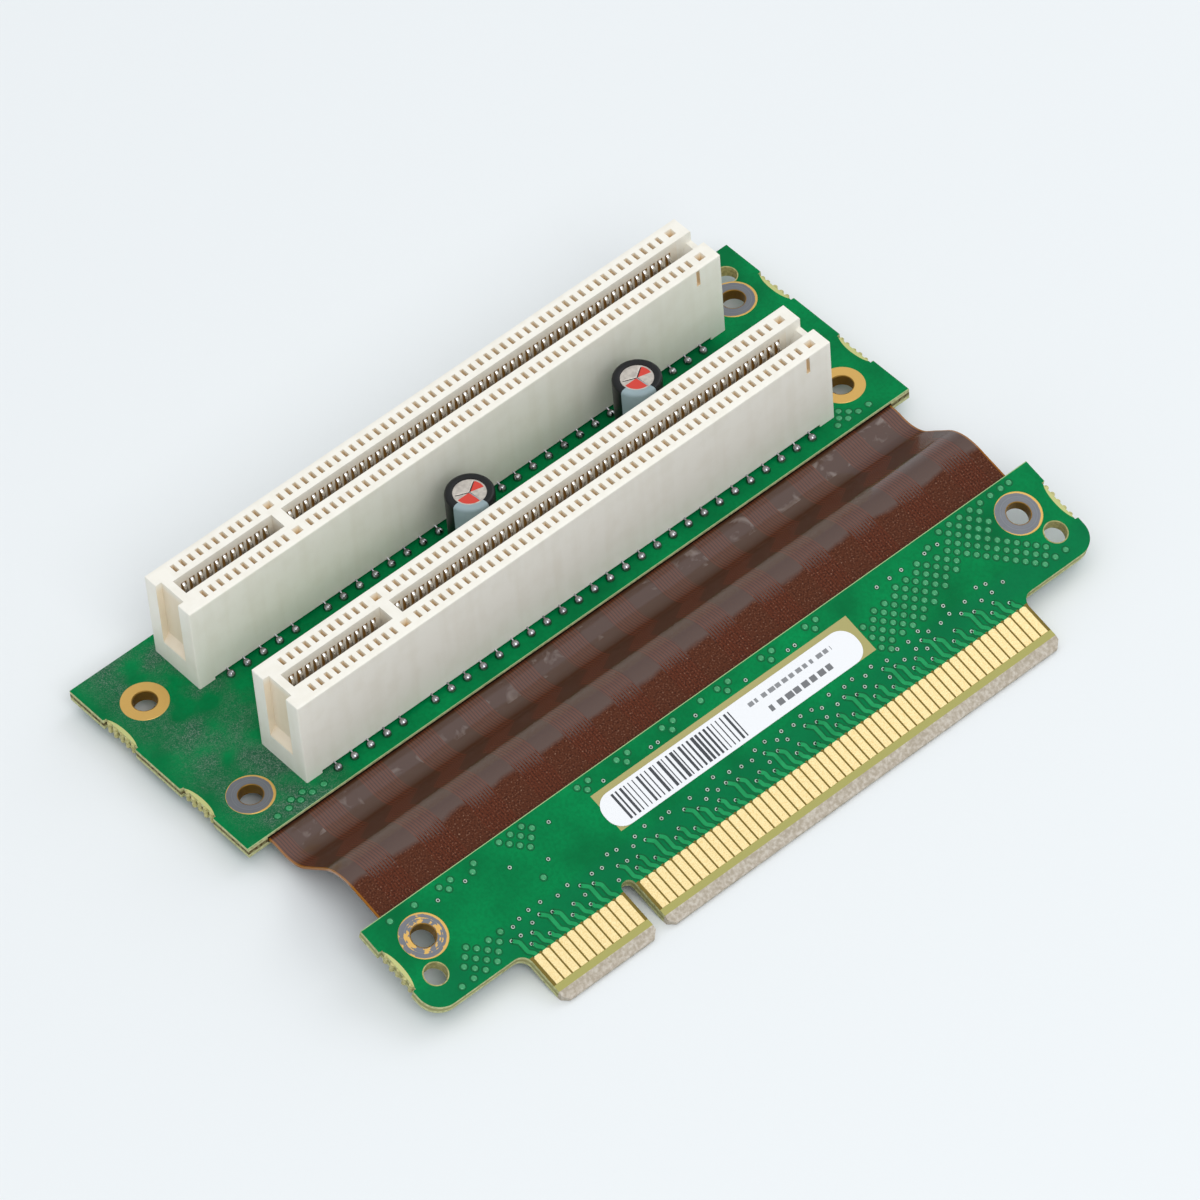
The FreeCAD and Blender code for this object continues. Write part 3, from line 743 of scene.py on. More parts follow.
@dataclass(frozen=True)
class CanTop(CapacitorFinish):
    """Drawn aluminium with red ink on two of its segments: dull beige-silver, bright along the score. Its
    grain is drawn coarser than the real one.

    Attributes:
        segments: middle and half width of each inked segment, as angles.
        inked: where the ink begins and ends, as shares of the radius.
    """

    radius: float
    metal: str = "#CFC8BF"
    shade: str = "#B9B2AA"
    ink: str = "#CE3728"
    segments: tuple[Spot, Spot] = ((-2.4, 0.92), (0.15, 0.42))
    inked: Spot = (0.08, 0.9)
    grain_mm: float = 0.6

    def paint(self, add: Add) -> Inputs:
        """Wire the inked segments by angle and distance from the can's middle.

        Args:
            add: adds a node.

        Returns:
            The shader's inputs.
        """
        spot, offset, angle = self.polar(add)
        wedges = [add("COMPARE", angle, *segment) for segment in self.segments]
        either = add("MAXIMUM", *wedges)
        reach = add("VectorMath.LENGTH", offset)
        begin, end = (share * self.radius for share in self.inked)
        ring = add("COMPARE", reach, (begin + end) / 2, (end - begin) / 2)
        inked = add("MULTIPLY", either, ring)
        grain = add("TexNoise", spot, 1 / (self.grain_mm * MM), 4.0)
        silver = add("ValToRGB", grain, stops=((0.35, self.shade), (0.6, self.metal)))
        colour = add("Mix.RGBA", inked, silver, self.ink)
        metallic = add("MapRange", inked, 0.0, 1.0, 0.6, 0.0)
        gloss = add("MapRange", grain, 0.0, 1.0, 0.35, 0.55)
        return dict(Base_Color=colour, Metallic=metallic, Roughness=gloss)


@dataclass(frozen=True)
class PrintRow:
    """A row of dark strokes on the label, each in a cell of its own.

    Attributes:
        x: its middle, from the label's left end.
        y: its middle, from the label's middle line.
        least: smallest share of a cell that a stroke fills.
        spread: how much more it fills at most.
    """

    x: float
    half_x: float
    y: float
    half_y: float
    cell: float
    least: float
    spread: float
    strength: float


@dataclass(frozen=True)
class PrintedPaper(Finish):
    """Coated paper with generic print: smooth and white, with bars and two rows of short dashes. The fibres
    are too fine to show, so they are drawn coarser.

    Attributes:
        left: x of the label's left end.
        middle: y of its middle line.
    """

    axes: BoardFrame
    left: float
    middle: float
    paper: str = "#E9EBEE"
    ink: str = "#3F4247"
    fibre_mm: float = 0.25
    rows: tuple[PrintRow, ...] = (
        PrintRow(11.7, 9.5, 0.0, 1.95, 0.66, 0.2, 0.55, 1.0),
        PrintRow(30.2, 6.6, 1.05, 0.3, 1.1, 0.35, 0.55, 0.75),
        PrintRow(30.4, 5.2, -0.85, 0.42, 1.3, 0.45, 0.45, 0.85),
    )

    def paint(self, add: Add) -> Inputs:
        """Wire the bars and dashes along the label.

        Args:
            add: adds a node.

        Returns:
            The shader's inputs.
        """
        local = self.axes.coordinates(add)
        x, y, _ = add("SeparateXYZ", local).outputs
        printed = 0.0
        for row in self.rows:
            steps = add("DIVIDE", x, row.cell)
            chance = add("TexWhiteNoise", add("FLOOR", steps), noise_dimensions="1D")
            filled = add("MULTIPLY_ADD", chance, row.spread, row.least)
            dark = add("LESS_THAN", add("FRACT", steps), filled)
            along = add("COMPARE", x, self.left + row.x, row.half_x)
            across = add("COMPARE", y, self.middle + row.y, row.half_y)
            inside = add("MULTIPLY", along, across)
            strokes = add("MULTIPLY", add("MULTIPLY", inside, dark), row.strength)
            printed = add("MAXIMUM", printed, strokes)
        colour = add("Mix.RGBA", printed, self.paper, self.ink)
        fibre = add("TexNoise", local, 1 / self.fibre_mm, 4.0)
        bump = add("Bump", Height=fibre, Strength=0.2, Distance=0.01 * MM)
        return dict(Base_Color=colour, Roughness=0.5, Normal=bump, Specular_IOR_Level=0.3)


# Off-white and satin, with painted warm shade in its pockets.
MOULDING = MouldedPlastic("glass_filled_polyester_moulded")
# Bright and smooth: a white gleam along the bend of each spring.
SPRING = Plate("tin_plated_bronze_spring", "#FBFAF6", "#D9D5CC", 0.16, 0.5, 0.006, 0.9)
# Pale soft gold with a fine unevenness.
GOLD = Plate("gold_plated_copper", "#F8E4AE", "#EBCF8E", 0.34, 0.18, 0.008, 0.6)
# Bright grey beads with dark reflections.
SOLDER = Plate("reflowed_tin_solder", "#B4B4B6", "#77787B", 0.13, 0.8, 0.015)
# Lighter glossy green domes that catch the light.
TENTED = MaskFilm("solder_mask_over_via", "#0F874D", "#27985F", 0.17, 1.4, 0.75)
# Lighter green lines where copper lies under the mask.
TRACE = MaskFilm("solder_mask_over_copper_line", "#08894D", "#149657", 0.28, 1.4, 0.2)
# Darker green where the copper is etched away.
GAP = MaskFilm("solder_mask_over_bare_laminate", "#005A31", "#006638", 0.28, 1.4, 0.13)
# Small pale rings with a dull gleam.
VIA_PAD = Plate("tinned_via_ring", "#C2CFC5", "#98A89D", 0.3, 0.4, 0.01, 0.7)
# A nearly black point in each ring: painted shade in the via's hole.
VIA_HOLE = MaskFilm("shaded_via_barrel", "#0B1410", "#18221A", 0.6)
# Straw-coloured broken ends of the panel tabs.
BARE_RIM = MaskFilm("bare_epoxy_rim", "#9C975E", "#C3BE86", 0.5, 0.3, 0.3)
# Dull straw-coloured walls of drilled holes.
HOLE_WALL = MaskFilm("drilled_glass_epoxy", "#8F8B57", "#B5AD74", 0.6, 0.4, 0.3)


def new_object(name: str, solid: Solid, finish: Finish, smooth: float = 30.0) -> bpy.types.Object:
    """Make an object from points in metres.

    Args:
        name: the piece's name.
        solid: its points in metres, and its faces, seen counter-clockwise from outside.
        finish: what its surface is.
        smooth: turn in degrees past which an edge stays sharp.

    Returns:
        The linked object.
    """
    mesh = bpy.data.meshes.new(name)
    mesh.from_pydata([tuple(point) for point in solid[0]], [], solid[1])
    return dressed(name, mesh, finish, smooth)


def dressed(name: str, mesh: Mesh, finish: Finish, smooth: float) -> bpy.types.Object:
    """Give a mesh its finish and soft shading, and put it in the scene.

    Args:
        name: the piece's name.
        mesh: the finished mesh.
        finish: what its surface is.
        smooth: turn in degrees past which an edge stays sharp.

    Returns:
        The linked object.
    """
    mesh.name = name
    mesh.materials.clear()
    mesh.materials.append(finish.material())
    mesh.shade_smooth()
    mesh.set_sharp_from_angle(angle=math.radians(smooth))
    piece = bpy.data.objects.new(name, mesh)
    bpy.context.scene.collection.objects.link(piece)
    return piece


def settle(piece: bpy.types.Object, slot: str, *nodes: str) -> None:
    """Fasten a piece to the card and log it.

    Args:
        piece: the finished piece.
        slot: the record's material slot that it belongs to; not used.
        nodes: the CAD nodes that it stands for.
    """
    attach(piece, BODY)
    if nodes:
        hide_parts(*nodes)
    log.info("%s: %d faces", piece.name, len(piece.data.polygons))


def band(low: int, high: int, count: int) -> Faces:
    """Faces between two rings of count points each, from the numbers of their first points."""
    steps = [(place, (place + 1) % count) for place in range(count)]
    return [(low + here, low + after, high + after, high + here) for here, after in steps]


def lathe(profile: Sequence[Spot], segments: int, closed: bool = False) -> Solid:
    """Turn a profile about the z axis.

    Args:
        profile: radius and height of each point, so that the outside lies to the right of the way along it.
        segments: faces round the axis.
        closed: whether the profile's end joins its start; if not, both ends lie on the axis.

    Returns:
        Points in millimetres about the axis, and faces.
    """
    angles = np.linspace(0, 2 * math.pi, segments, endpoint=False)
    ring = profile if closed else profile[1:-1]
    points = [(r * math.cos(a), r * math.sin(a), z) for r, z in ring for a in angles]
    faces = []
    for step in range(len(ring) if closed else len(ring) - 1):
        faces += band(step * segments, (step + 1) % len(ring) * segments, segments)
    if not closed:
        first, last, top = len(points), len(points) + 1, (len(ring) - 1) * segments
        points += [(0.0, 0.0, profile[0][1]), (0.0, 0.0, profile[-1][1])]
        for place in range(segments):
            after = (place + 1) % segments
            faces += [(first, after, place), (last, top + place, top + after)]
    return np.array(points), faces


def lofted(rings: Sequence[Sequence[Point]]) -> Solid:
    """Skin a row of rings and close both ends.

    Args:
        rings: rings with as many points each, seen counter-clockwise from beyond the last one.

    Returns:
        Points and faces.
    """
    count, last = len(rings[0]), (len(rings) - 1) * len(rings[0])
    faces = [tuple(range(count))[::-1], tuple(range(last, last + count))]
    for start in range(0, last, count):
        faces += band(start, start + count, count)
    return np.array([point for ring in rings for point in ring]), faces


def mirrored(solid: Solid, signs: Point) -> Solid:
    """Mirror a solid in the axis whose sign is -1, if there is one, with its faces still outward."""
    points, faces = solid
    return points * signs, [face[::-1] for face in faces] if min(signs) < 0 else faces


def joined(parts: Iterable[Solid]) -> Solid:
    """Put several solids in one.

    Args:
        parts: points and faces of each.

    Returns:
        All points and all faces, renumbered.
    """
    points, faces, start = [], [], 0
    for part_points, part_faces in parts:
        points.append(part_points)
        faces += [tuple(start + corner for corner in face) for face in part_faces]
        start += len(part_points)
    return np.concatenate(points), faces


def in_place(solid: Solid, offset: Point) -> Solid:
    """Move a solid, and turn its millimetres into metres."""
    return (solid[0] + offset) * MM, solid[1]


def merged(name: str, meshes: Sequence[Mesh], finish: Finish) -> bpy.types.Object:
    """Join plain meshes into one piece.

    Args:
        name: the piece's name.
        meshes: what goes into it.
        finish: what its surface is.

    Returns:
        The piece.
    """
    parts = []
    for mesh in meshes:
        spots = np.array([tuple(vertex.co) for vertex in mesh.vertices])
        parts.append((spots, [tuple(face.vertices) for face in mesh.polygons]))
    return new_object(name, joined(parts), finish, 45.0)


def rod(start: Point, end: Point, radius: float, segments: int) -> Solid:
    """A straight round rod with closed ends.

    Args:
        start: middle of one end.
        end: middle of the other.
        radius: its radius.
        segments: faces round it.

    Returns:
        Points and faces.
    """
    way = np.subtract(end, start)
    length = float(np.linalg.norm(way))
    points, faces = lathe([(0, 0), (radius, 0), (radius, length), (0, length)], segments)
    turn = Vector(way).to_track_quat("Z", "Y").to_matrix()
    return points @ np.array(turn).T + start, faces


def solder_cone(steps: Sequence[Spot], segments: int) -> Solid:
    """A cone of solder round a tail, down from the board's under face at z = 0.

    Args:
        steps: radius and share of the tail's length of each step between its tip and its foot.
        segments: faces round it.

    Returns:
        Points and faces.
    """
    sides = [(radius, -share * TAIL_LENGTH) for radius, share in steps]
    foot = [(CONE_RADIUS, -CONE_FOOT), (CONE_RADIUS, 0.0), (0, 0.0)]
    return lathe([(0, -TAIL_LENGTH), *sides, *foot], segments)


def smooth_line(route: Sequence[Point], count: int) -> np.ndarray:
    """A smooth line through a few points.

    Args:
        route: the points.
        count: how many points the line gets.

    Returns:
        Points along the line, one a row.
    """
    known = np.array([route[0], *route, route[-1]], float)
    spans = len(route) - 1
    line = []
    for place in np.linspace(0, spans, count):
        step = min(int(place), spans - 1)
        t = place - step
        a, b, c, d = known[step : step + 4]
        square, cube = 2 * a - 5 * b + 4 * c - d, 3 * b - a - 3 * c + d
        line.append(0.5 * (2 * b + (c - a) * t + square * t**2 + cube * t**3))
    return np.array(line)


def distance(spot: Spot, line: Sequence[Spot]) -> float:
    """How far a spot lies from a line.

    Args:
        spot: x and y.
        line: the line's points.

    Returns:
        The distance.
    """
    gaps = []
    for start, end in zip(line, line[1:]):
        way, off = np.subtract(end, start), np.subtract(spot, start)
        share = np.clip(np.dot(off, way) / np.dot(way, way), 0, 1)
        gaps.append(float(np.linalg.norm(off - share * way)))
    return min(gaps)


def carved(cuts: Sequence[Cut], further: Sequence[Point]) -> tuple[np.ndarray, Faces, list[float]]:
    """Empty cells of a block, for a moulding full of square pockets.

    Args:
        cuts: spans along x, y and z of each pocket and the painted shade of its walls; later ones lie over
            earlier, and together they reach all sides of the block.
        further: more planes along x, y and z that divide the block.

    Returns:
        Points, outward faces and the painted shade of each face.
    """
    planes = []
    for axis in range(3):
        ends = [end for cut in cuts for end in cut[axis]]
        planes.append(np.unique(np.round([*ends, *further[axis]], 4)))
    full = np.ones([len(axis) - 1 for axis in planes], bool)
    shade = np.zeros(full.shape)
    for *spans, depth in cuts:
        middles = [(axis[:-1] + axis[1:]) / 2 for axis in planes]
        cells = np.ix_(*(np.flatnonzero((m > low) & (m < high)) for m, (low, high) in zip(middles, spans)))
        full[cells], shade[cells] = False, depth
    full, shade = np.pad(full, 1), np.pad(shade, 1)
    numbers: dict[tuple[int, ...], int] = {}
    faces, shades = [], []
    rounds = ((0, 0), (1, 0), (1, 1), (0, 1))
    for axis in range(3):
        others = [(axis + 1) % 3, (axis + 2) % 3]
        change = np.diff(full.astype(int), axis=axis)
        for cell in np.argwhere(change != 0):
            outward = change[tuple(cell)] < 0
            outside = cell.copy()
            outside[axis] += outward
            face = []
            for step in rounds if outward else rounds[::-1]:
                corner = cell.copy()
                corner[others] += np.subtract(step, 1)
                face.append(numbers.setdefault(tuple(corner), len(numbers)))
            faces.append(tuple(face))
            shades.append(float(shade[tuple(outside)]))
    points = np.array([[planes[axis][corner[axis]] for axis in range(3)] for corner in numbers])
    return points, faces, shades


def new_tree(name: str, **inputs: str) -> tuple[Wiring, bpy.types.bpy_prop_collection]:
    """Start a geometry tree with named inputs, a mesh and a material among them.

    Args:
        name: the tree's name.
        inputs: by socket type, the names of the inputs with commas between them.

    Returns:
        The tree's wiring and its inputs.
    """
    tree = bpy.data.node_groups.new(name, "GeometryNodeTree")
    tree.interface.new_socket("Geometry", in_out="OUTPUT", socket_type="NodeSocketGeometry")
    for kind, labels in {"Geometry": "Geometry", "Material": "Material", **inputs}.items():
        for label in labels.split(", "):
            tree.interface.new_socket(label, in_out="INPUT", socket_type=f"NodeSocket{kind}")
    wiring = Wiring(tree)
    return wiring, wiring.add("NodeGroupInput").outputs


def end_tree(wiring: Wiring, result: Node, given: bpy.types.bpy_prop_collection) -> Tree:
    """Turn the result with its board, where the tree has one, then realize it and set its material.

    Args:
        wiring: the tree's wiring.
        result: the node that makes the shape.
        given: the tree's inputs.

    Returns:
        The finished tree.
    """
    if "Tilt" in given:
        turn = wiring.add("CombineXYZ", given["Tilt"])
        move = dict(Translation=given["Origin"], Rotation=turn)
        result = wiring.add("GeometryNodeTransform", Geometry=result, **move)
    real = wiring.add("GeometryNodeRealizeInstances", Geometry=result)
    coated = wiring.add("GeometryNodeSetMaterial", Geometry=real, Material=given["Material"])
    wiring.add("NodeGroupOutput", Geometry=coated)
    return wiring.tree


@lru_cache(maxsize=None)
def row_tree() -> Tree:
    """A tree that repeats its own mesh along x in two groups, left and right of the key.

    Returns:
        The tree.
    """
    sizes = dict(Float="Pitch, Short Start, Long Start", Int="Short Count, Long Count")
    wiring, given = new_tree("contact_row", **sizes)
    step = wiring.add("CombineXYZ", given["Pitch"])
    gather = wiring.add("GeometryNodeJoinGeometry")
    for group in ("Short", "Long"):
        start = wiring.add("CombineXYZ", given[f"{group} Start"])
        count = given[f"{group} Count"]
        line = wiring.add("GeometryNodeMeshLine", Count=count, Start_Location=start, Offset=step)
        wiring.plug(line, gather.inputs[0])
    placed = wiring.add("GeometryNodeInstanceOnPoints", Points=gather, Instance=given["Geometry"])
    return end_tree(wiring, placed, given)


@lru_cache(maxsize=None)
def dot_tree(form: Dot) -> Tree:
    """A tree that sets a dimpled dome or a disc on each point of a board.

    Args:
        form: the form of each mark.

    Returns:
        The tree.
    """
    wiring, given = new_tree(f"board_{form.value}s", Float="Radius, Height, Tilt", Vector="Origin")
    size = wiring.add("CombineXYZ", given["Radius"], given["Radius"], given["Height"])
    if form is Dot.DOME:
        ball = wiring.add("GeometryNodeMeshUVSphere", Segments=14, Rings=8, Radius=1.0)
        spot = wiring.add("GeometryNodeInputPosition")
        from_axis = wiring.add("VectorMath.LENGTH", wiring.add("VectorMath.MULTIPLY", spot, (1.0, 1.0, 0.0)))
        sunk = wiring.add("MapRange", from_axis, 0.0, DIMPLE_REACH, -DIMPLE_DEPTH, 0.0)
        dimple = wiring.add("CombineXYZ", Z=sunk)
        unit = wiring.add("GeometryNodeSetPosition", Geometry=ball, Offset=dimple)
    else:
        unit = wiring.add("GeometryNodeMeshCylinder", Vertices=16, Radius=1.0, Depth=2.0)
    shaped = wiring.add("GeometryNodeTransform", Geometry=unit, Scale=size)
    placed = wiring.add("GeometryNodeInstanceOnPoints", Points=given["Geometry"], Instance=shaped)
    return end_tree(wiring, placed, given)


@lru_cache(maxsize=None)
def ribbon_tree() -> Tree:
    """A tree that gives each line drawn on a board a flat raised section.

    Returns:
        The tree.
    """
    wiring, given = new_tree("board_lines", Float="Width, Thickness, Bend, Tilt", Vector="Origin")
    curve = wiring.add("GeometryNodeMeshToCurve", Mesh=given["Geometry"])
    corners = dict(Count=4, Radius=given["Bend"], Limit_Radius=True)
    bent = wiring.add("GeometryNodeFilletCurve", Curve=curve, mode="POLY", **corners)
    upright = wiring.add("GeometryNodeSetCurveNormal", Curve=bent, mode="Z_UP")
    sizes = dict(Width=given["Width"], Height=given["Thickness"])
    section = wiring.add("GeometryNodeCurvePrimitiveQuadrilateral", **sizes)
    solid = wiring.add("GeometryNodeCurveToMesh", Curve=upright, Profile_Curve=section, Fill_Caps=True)
    return end_tree(wiring, solid, given)


def grown(tree: Tree, finish: Finish, points: Iterable[Point], faces: Faces = (),
          edges: Sequence[Edge] = (), **values: Value) -> Mesh:
    """Run a geometry tree on a mesh.

    Args:
        tree: the tree.
        finish: what the result's surface is.
        points: vertices in metres of the mesh that the tree starts from.
        faces: its faces by vertex number.
        edges: its loose edges, for lines.
        values: the tree's other inputs by name, with underscores for spaces.

    Returns:
        The result as a plain mesh.
    """
    mesh = bpy.data.meshes.new("unit")
    mesh.from_pydata([tuple(point) for point in points], list(edges), list(faces))
    carrier = bpy.data.objects.new(f"{tree.name}_carrier", mesh)
    bpy.context.scene.collection.objects.link(carrier)
    modifier = carrier.modifiers.new(tree.name, "NODES")
    modifier.node_group = tree
    values["Material"] = finish.material()
    for item in tree.interface.items_tree:
        label = item.name.replace(" ", "_")
        if item.in_out == "INPUT" and label in values:
            modifier[item.identifier] = values[label]
    graph = bpy.context.evaluated_depsgraph_get()
    result = bpy.data.meshes.new_from_object(carrier.evaluated_get(graph), depsgraph=graph)
    bpy.data.objects.remove(carrier)
    return result


def contact_rows(solid: Solid, finish: Finish, pitch: float, groups: Groups) -> Mesh:
    """Repeat one small piece along both contact groups.

    Args:
        solid: the piece at x = 0, in metres.
        finish: what its surface is.
        pitch: spacing in millimetres.
        groups: start in millimetres and count, left and right of the key.

    Returns:
        The whole row as a plain mesh.
    """
    (short_start, short_count), (long_start, long_count) = groups
    starts = dict(Pitch=pitch * MM, Short_Start=short_start * MM, Long_Start=long_start * MM)
    return grown(row_tree(), finish, *solid, **starts, Short_Count=short_count, Long_Count=long_count)


@dataclass
class Studio:
    """The pale table, the soft light and the camera at the photograph's angle.

    Attributes:
        eye: the camera's place in millimetres.
        down: the way down in its picture.
        far: how far it sees, in metres.
        table_size: side of the table in metres.
        lamps: name, place in metres, size in metres and power of each lamp.
        tent: the pale surroundings, from the horizon up: brightest overhead, and darkest at mid height.
    """

    eye: Point = (-397.38, -525.02, 767.48)
    forward: Point = (0.39549, 0.52312, -0.75494)
    down: Point = (-0.5249, -0.5458, -0.6532)
    lens: float = 250.0
    far: float = 10.0
    table_size: float = 3.0
    lamps: tuple[tuple[str, Point, float, float], ...] = (
        ("right_softbox", (0.95, 0.1, 0.85), 0.7, 2.2),
        ("front_softbox", (-0.25, -0.88, 1.02), 0.8, 6.2),
    )
    tent: tuple[Stop, ...] = ((0.0, "#E4E7EA"), (0.5, "#CACDD0"), (1.0, "#FFFFFF"))

    def build(self) -> None:
        """Make the table, the lamps, the world and the camera."""
        self.lay_table()
        self.hang_lamps()
        self.set_world()
        self.aim_camera()

    def lay_table(self) -> None:
        """A wide pale plane that keeps the card's shadow."""
        half = self.table_size / 2
        corners = [(-half, -half, 0.0), (half, -half, 0.0), (half, half, 0.0), (-half, half, 0.0)]
        new_object("table", (corners, [(0, 1, 2, 3)]), CardTable("matt_white_card_table"))

    def hang_lamps(self) -> None:
        """A broad soft lamp high at the front, and a weaker one at the right."""
        for name, place, size, watts in self.lamps:
            light = bpy.data.lights.new(name, "AREA")
            light.size, light.energy = size, watts
            lamp = bpy.data.objects.new(name, light)
            lamp.location = place
            lamp.rotation_euler = (-Vector(place)).to_track_quat("-Z", "Y").to_euler()
            bpy.context.scene.collection.objects.link(lamp)

    def set_world(self) -> None:
        """A pale tent, shaded by height."""
        world = bpy.data.worlds.new("pale_tent")
        world.use_nodes = True
        wiring = Wiring(world.node_tree)
        way = wiring.add("TexCoord").outputs["Generated"]
        height = wiring.add("SeparateXYZ", way).outputs["Z"]
        shade = wiring.add("ValToRGB", height, stops=self.tent)
        wiring.plug(shade, world.node_tree.nodes["Background"].inputs["Color"])
        bpy.context.scene.world = world

    def aim_camera(self) -> None:
        """A long lens high at the front left."""
        camera = bpy.data.cameras.new("camera")
        camera.lens, camera.clip_end = self.lens, self.far
        back = -Vector(self.forward)
        right = (-Vector(self.down)).cross(back).normalized()
        turn = Matrix((right, back.cross(right), back)).transposed().to_4x4()
        holder = bpy.data.objects.new("camera", camera)
        holder.matrix_world = Matrix.Translation(Vector(self.eye) * MM) @ turn
        bpy.context.scene.collection.objects.link(holder)
        bpy.context.scene.camera = holder
        bpy.context.scene.view_settings.view_transform = "Standard"


@dataclass
class Slot:
    """One white slot: its windowed moulding, two rows of springs, and the solder above and below the board.

    Attributes:
        band: height of the plain band above the springs' channels.
        shade_depth: depth at which a pocket has its full painted warm shade.
        spring_route: distance behind the card gap's wall and drop below the tip of points along a spring.
        spring_section: its outline, in halves of its width and of its thickness.
        cone_steps: radius and share of the tail's length of the solder round a tail.
        pin_reach: how far a tail runs in under the slot.
    """

    name: str
    width: float = 8.64
    height: float = 13.7
    left_end: float = 3.5
    right_end: float = 3.87
    card_gap: float = 2.56
    card_floor: float = 3.2
    card_end_gap: float = 1.5
    key_width: float = 1.5
    foot_length: float = 2.4
    foot_height: float = 0.45
    window_width: float = 0.55
    window_length: float = 1.25
    window_depth: float = 1.6
    window_row: float = 2.78
    window_taper: float = 0.75
    square_window: float = 1.1
    square_depth: float = 1.5
    square_taper: float = 0.65
    end_window_gap: float = 1.83
    notch_depth: float = 1.65
    end_wall: float = 0.8
    ramp_height: float = 2.8
    recess_depth: float = 0.9
    recess_width: float = 4.25
    recess_floor: float = 3.4
    recess_slope: float = 1.2
    slit_width: float = 0.55
    slit_length: float = 2.6
    slit_drop: float = 0.2
    slit_depth: float = 0.6
    slit_offset: float = 0.15
    channel_width: float = 0.86
    channel_depth: float = 0.8
    band: float = 1.3
    edge_round: float = 0.16
    # Painted shade of each kind of pocket, from none to full.
    foot_shade: float = 0.3
    gap_shade: float = 0.12
    recess_shade: float = 0.3
    slit_shade: float = 0.5
    window_shade: float = 1.0
    channel_shade: float = 0.9
    square_shade: float = 0.8
    shade_depth: float = 0.9
    spring_width: float = 0.6
    spring_thickness: float = 0.18
    spring_taper: float = 0.38
    spring_steps: int = 20
    spring_tip_gap: float = 0.05
    spring_route: tuple[Spot, ...] = (
        (0.45, 9.05), (0.3, 6.35), (-0.2, 2.4), (-0.5, 1.35), (-0.42, 0.75), (-0.05, 0.3), (0.35, 0.12),
    )
    spring_section: tuple[Spot, ...] = ((-1, -1), (1, -1), (1, 0.2), (0.45, 1), (-0.45, 1), (-1, 0.2))
    outer_row: float = 5.08
    inner_row: float = 2.54
    cone_steps: tuple[Spot, ...] = ((0.2, 0.99), (0.27, 0.94), (0.3, 0.62), (0.42, 0.4), (0.62, 0.2))
    cone_segments: int = 12
    bead_radius: float = 0.6
    bead_height: float = 0.7
    bead_steps: int = 6
    bead_segments: int = 14
    pin_radius: float = 0.13
    pin_segments: int = 8
    pin_foot: float = 0.3
    pin_reach: float = 0.6
    pin_rise: float = 0.35

    def __post_init__(self) -> None:
        """Take the slot's place from its CAD nodes. Places along the slot are from its first contact."""
        low, high = box_mm(f"{self.name}_housing")
        self.place = np.array((low[0] + self.left_end, (low[1] + high[1]) / 2, low[2]))
        self.first_tail = box_mm(f"{self.name}_solder_joints")[0][0] + CONE_RADIUS
        self.left, self.right = -self.left_end, LAST_CONTACT + self.right_end
        self.card_right = LAST_CONTACT + self.card_end_gap
        self.sill = self.height - self.notch_depth
        self.squares = (KEY_CENTRE, LAST_CONTACT + self.end_window_gap)
        groups = contact_groups(0.0)
        self.contacts = [start + step * CONTACT_PITCH for start, count in groups for step in range(count)]

    def build(self) -> None:
        """Make the moulding, the springs and the solder."""
        self.build_housing()
        self.build_springs()
        self.build_joints()
        self.build_beads()

    def cuts(self) -> list[Cut]:
        """The pockets of the moulding.

        Returns:
            Spans along x, y and z of each, and the painted shade of its walls.
        """
        left, right, top, half = self.left, self.right, self.height, self.width / 2
        gap, key, card = span(0.0, self.card_gap), span(KEY_CENTRE, self.key_width), (self.card_floor, top)
        slit = span(LAST_CONTACT + self.slit_offset, self.slit_width)
        slit_top = top - self.slit_drop
        feet = (left + self.foot_length, right - self.foot_length)
        recess = span(0.0, self.recess_width)
        cuts = [
            (feet, (-half, half), (0, self.foot_height), self.foot_shade),
            ((-self.card_end_gap, key[0]), gap, card, self.gap_shade),
            ((key[1], self.card_right), gap, card, self.gap_shade),
            ((self.card_right, right), gap, (self.sill, top), 0.0),
            ((left, left + self.recess_depth), recess, (self.recess_floor, top), self.recess_shade),
            (slit, (-half, self.slit_depth - half), (slit_top - self.slit_length, slit_top), self.slit_shade),
        ]
        for side in Side:
            row = side.value * self.window_row
            windows = span(row, self.window_length), (top - self.window_depth, top), self.window_shade
            channel = span(side.value * (gap[1] + self.channel_depth / 2), self.channel_depth)
            channels = channel, (self.card_floor, top - self.band), self.channel_shade
            for x in self.contacts:
                cuts += [(span(x, self.window_width), *windows), (span(x, self.channel_width), *channels)]
            squares = span(row, self.square_window), (top - self.square_depth, top), self.square_shade
            cuts += [(span(x, self.square_window), *squares) for x in self.squares]
        return cuts

    def build_housing(self) -> None:
        """The moulding, cut from a block cell by cell, with its slopes pulled into shape afterwards."""
        half, edge = self.width / 2, self.edge_round
        further = (
            (self.left + edge, self.right - self.end_wall, self.right - edge),
            (half - self.slit_depth, half - edge, edge - half),
            (self.recess_floor + self.recess_slope, self.height - edge),
        )
        points, faces, shades = carved(self.cuts(), further)
        self.pull_slopes(points)
        self.taper_windows(points)
        self.round_edges(points)
        # Painted shade: each face corner darkens warmly with its depth below the top, by its pocket's shade.
        depths = (self.height - points[np.array(faces).ravel(), 2]) / self.shade_depth
        piece = new_object(f"{self.name}_moulding", in_place((points, faces), self.place), MOULDING, 40.0)
        layer = piece.data.attributes.new("pocket", "FLOAT", "CORNER")
        layer.data.foreach_set("value", np.repeat(shades, 4) * np.clip(depths, 0.0, 1.0))
        settle(piece, "housing", f"{self.name}_housing")

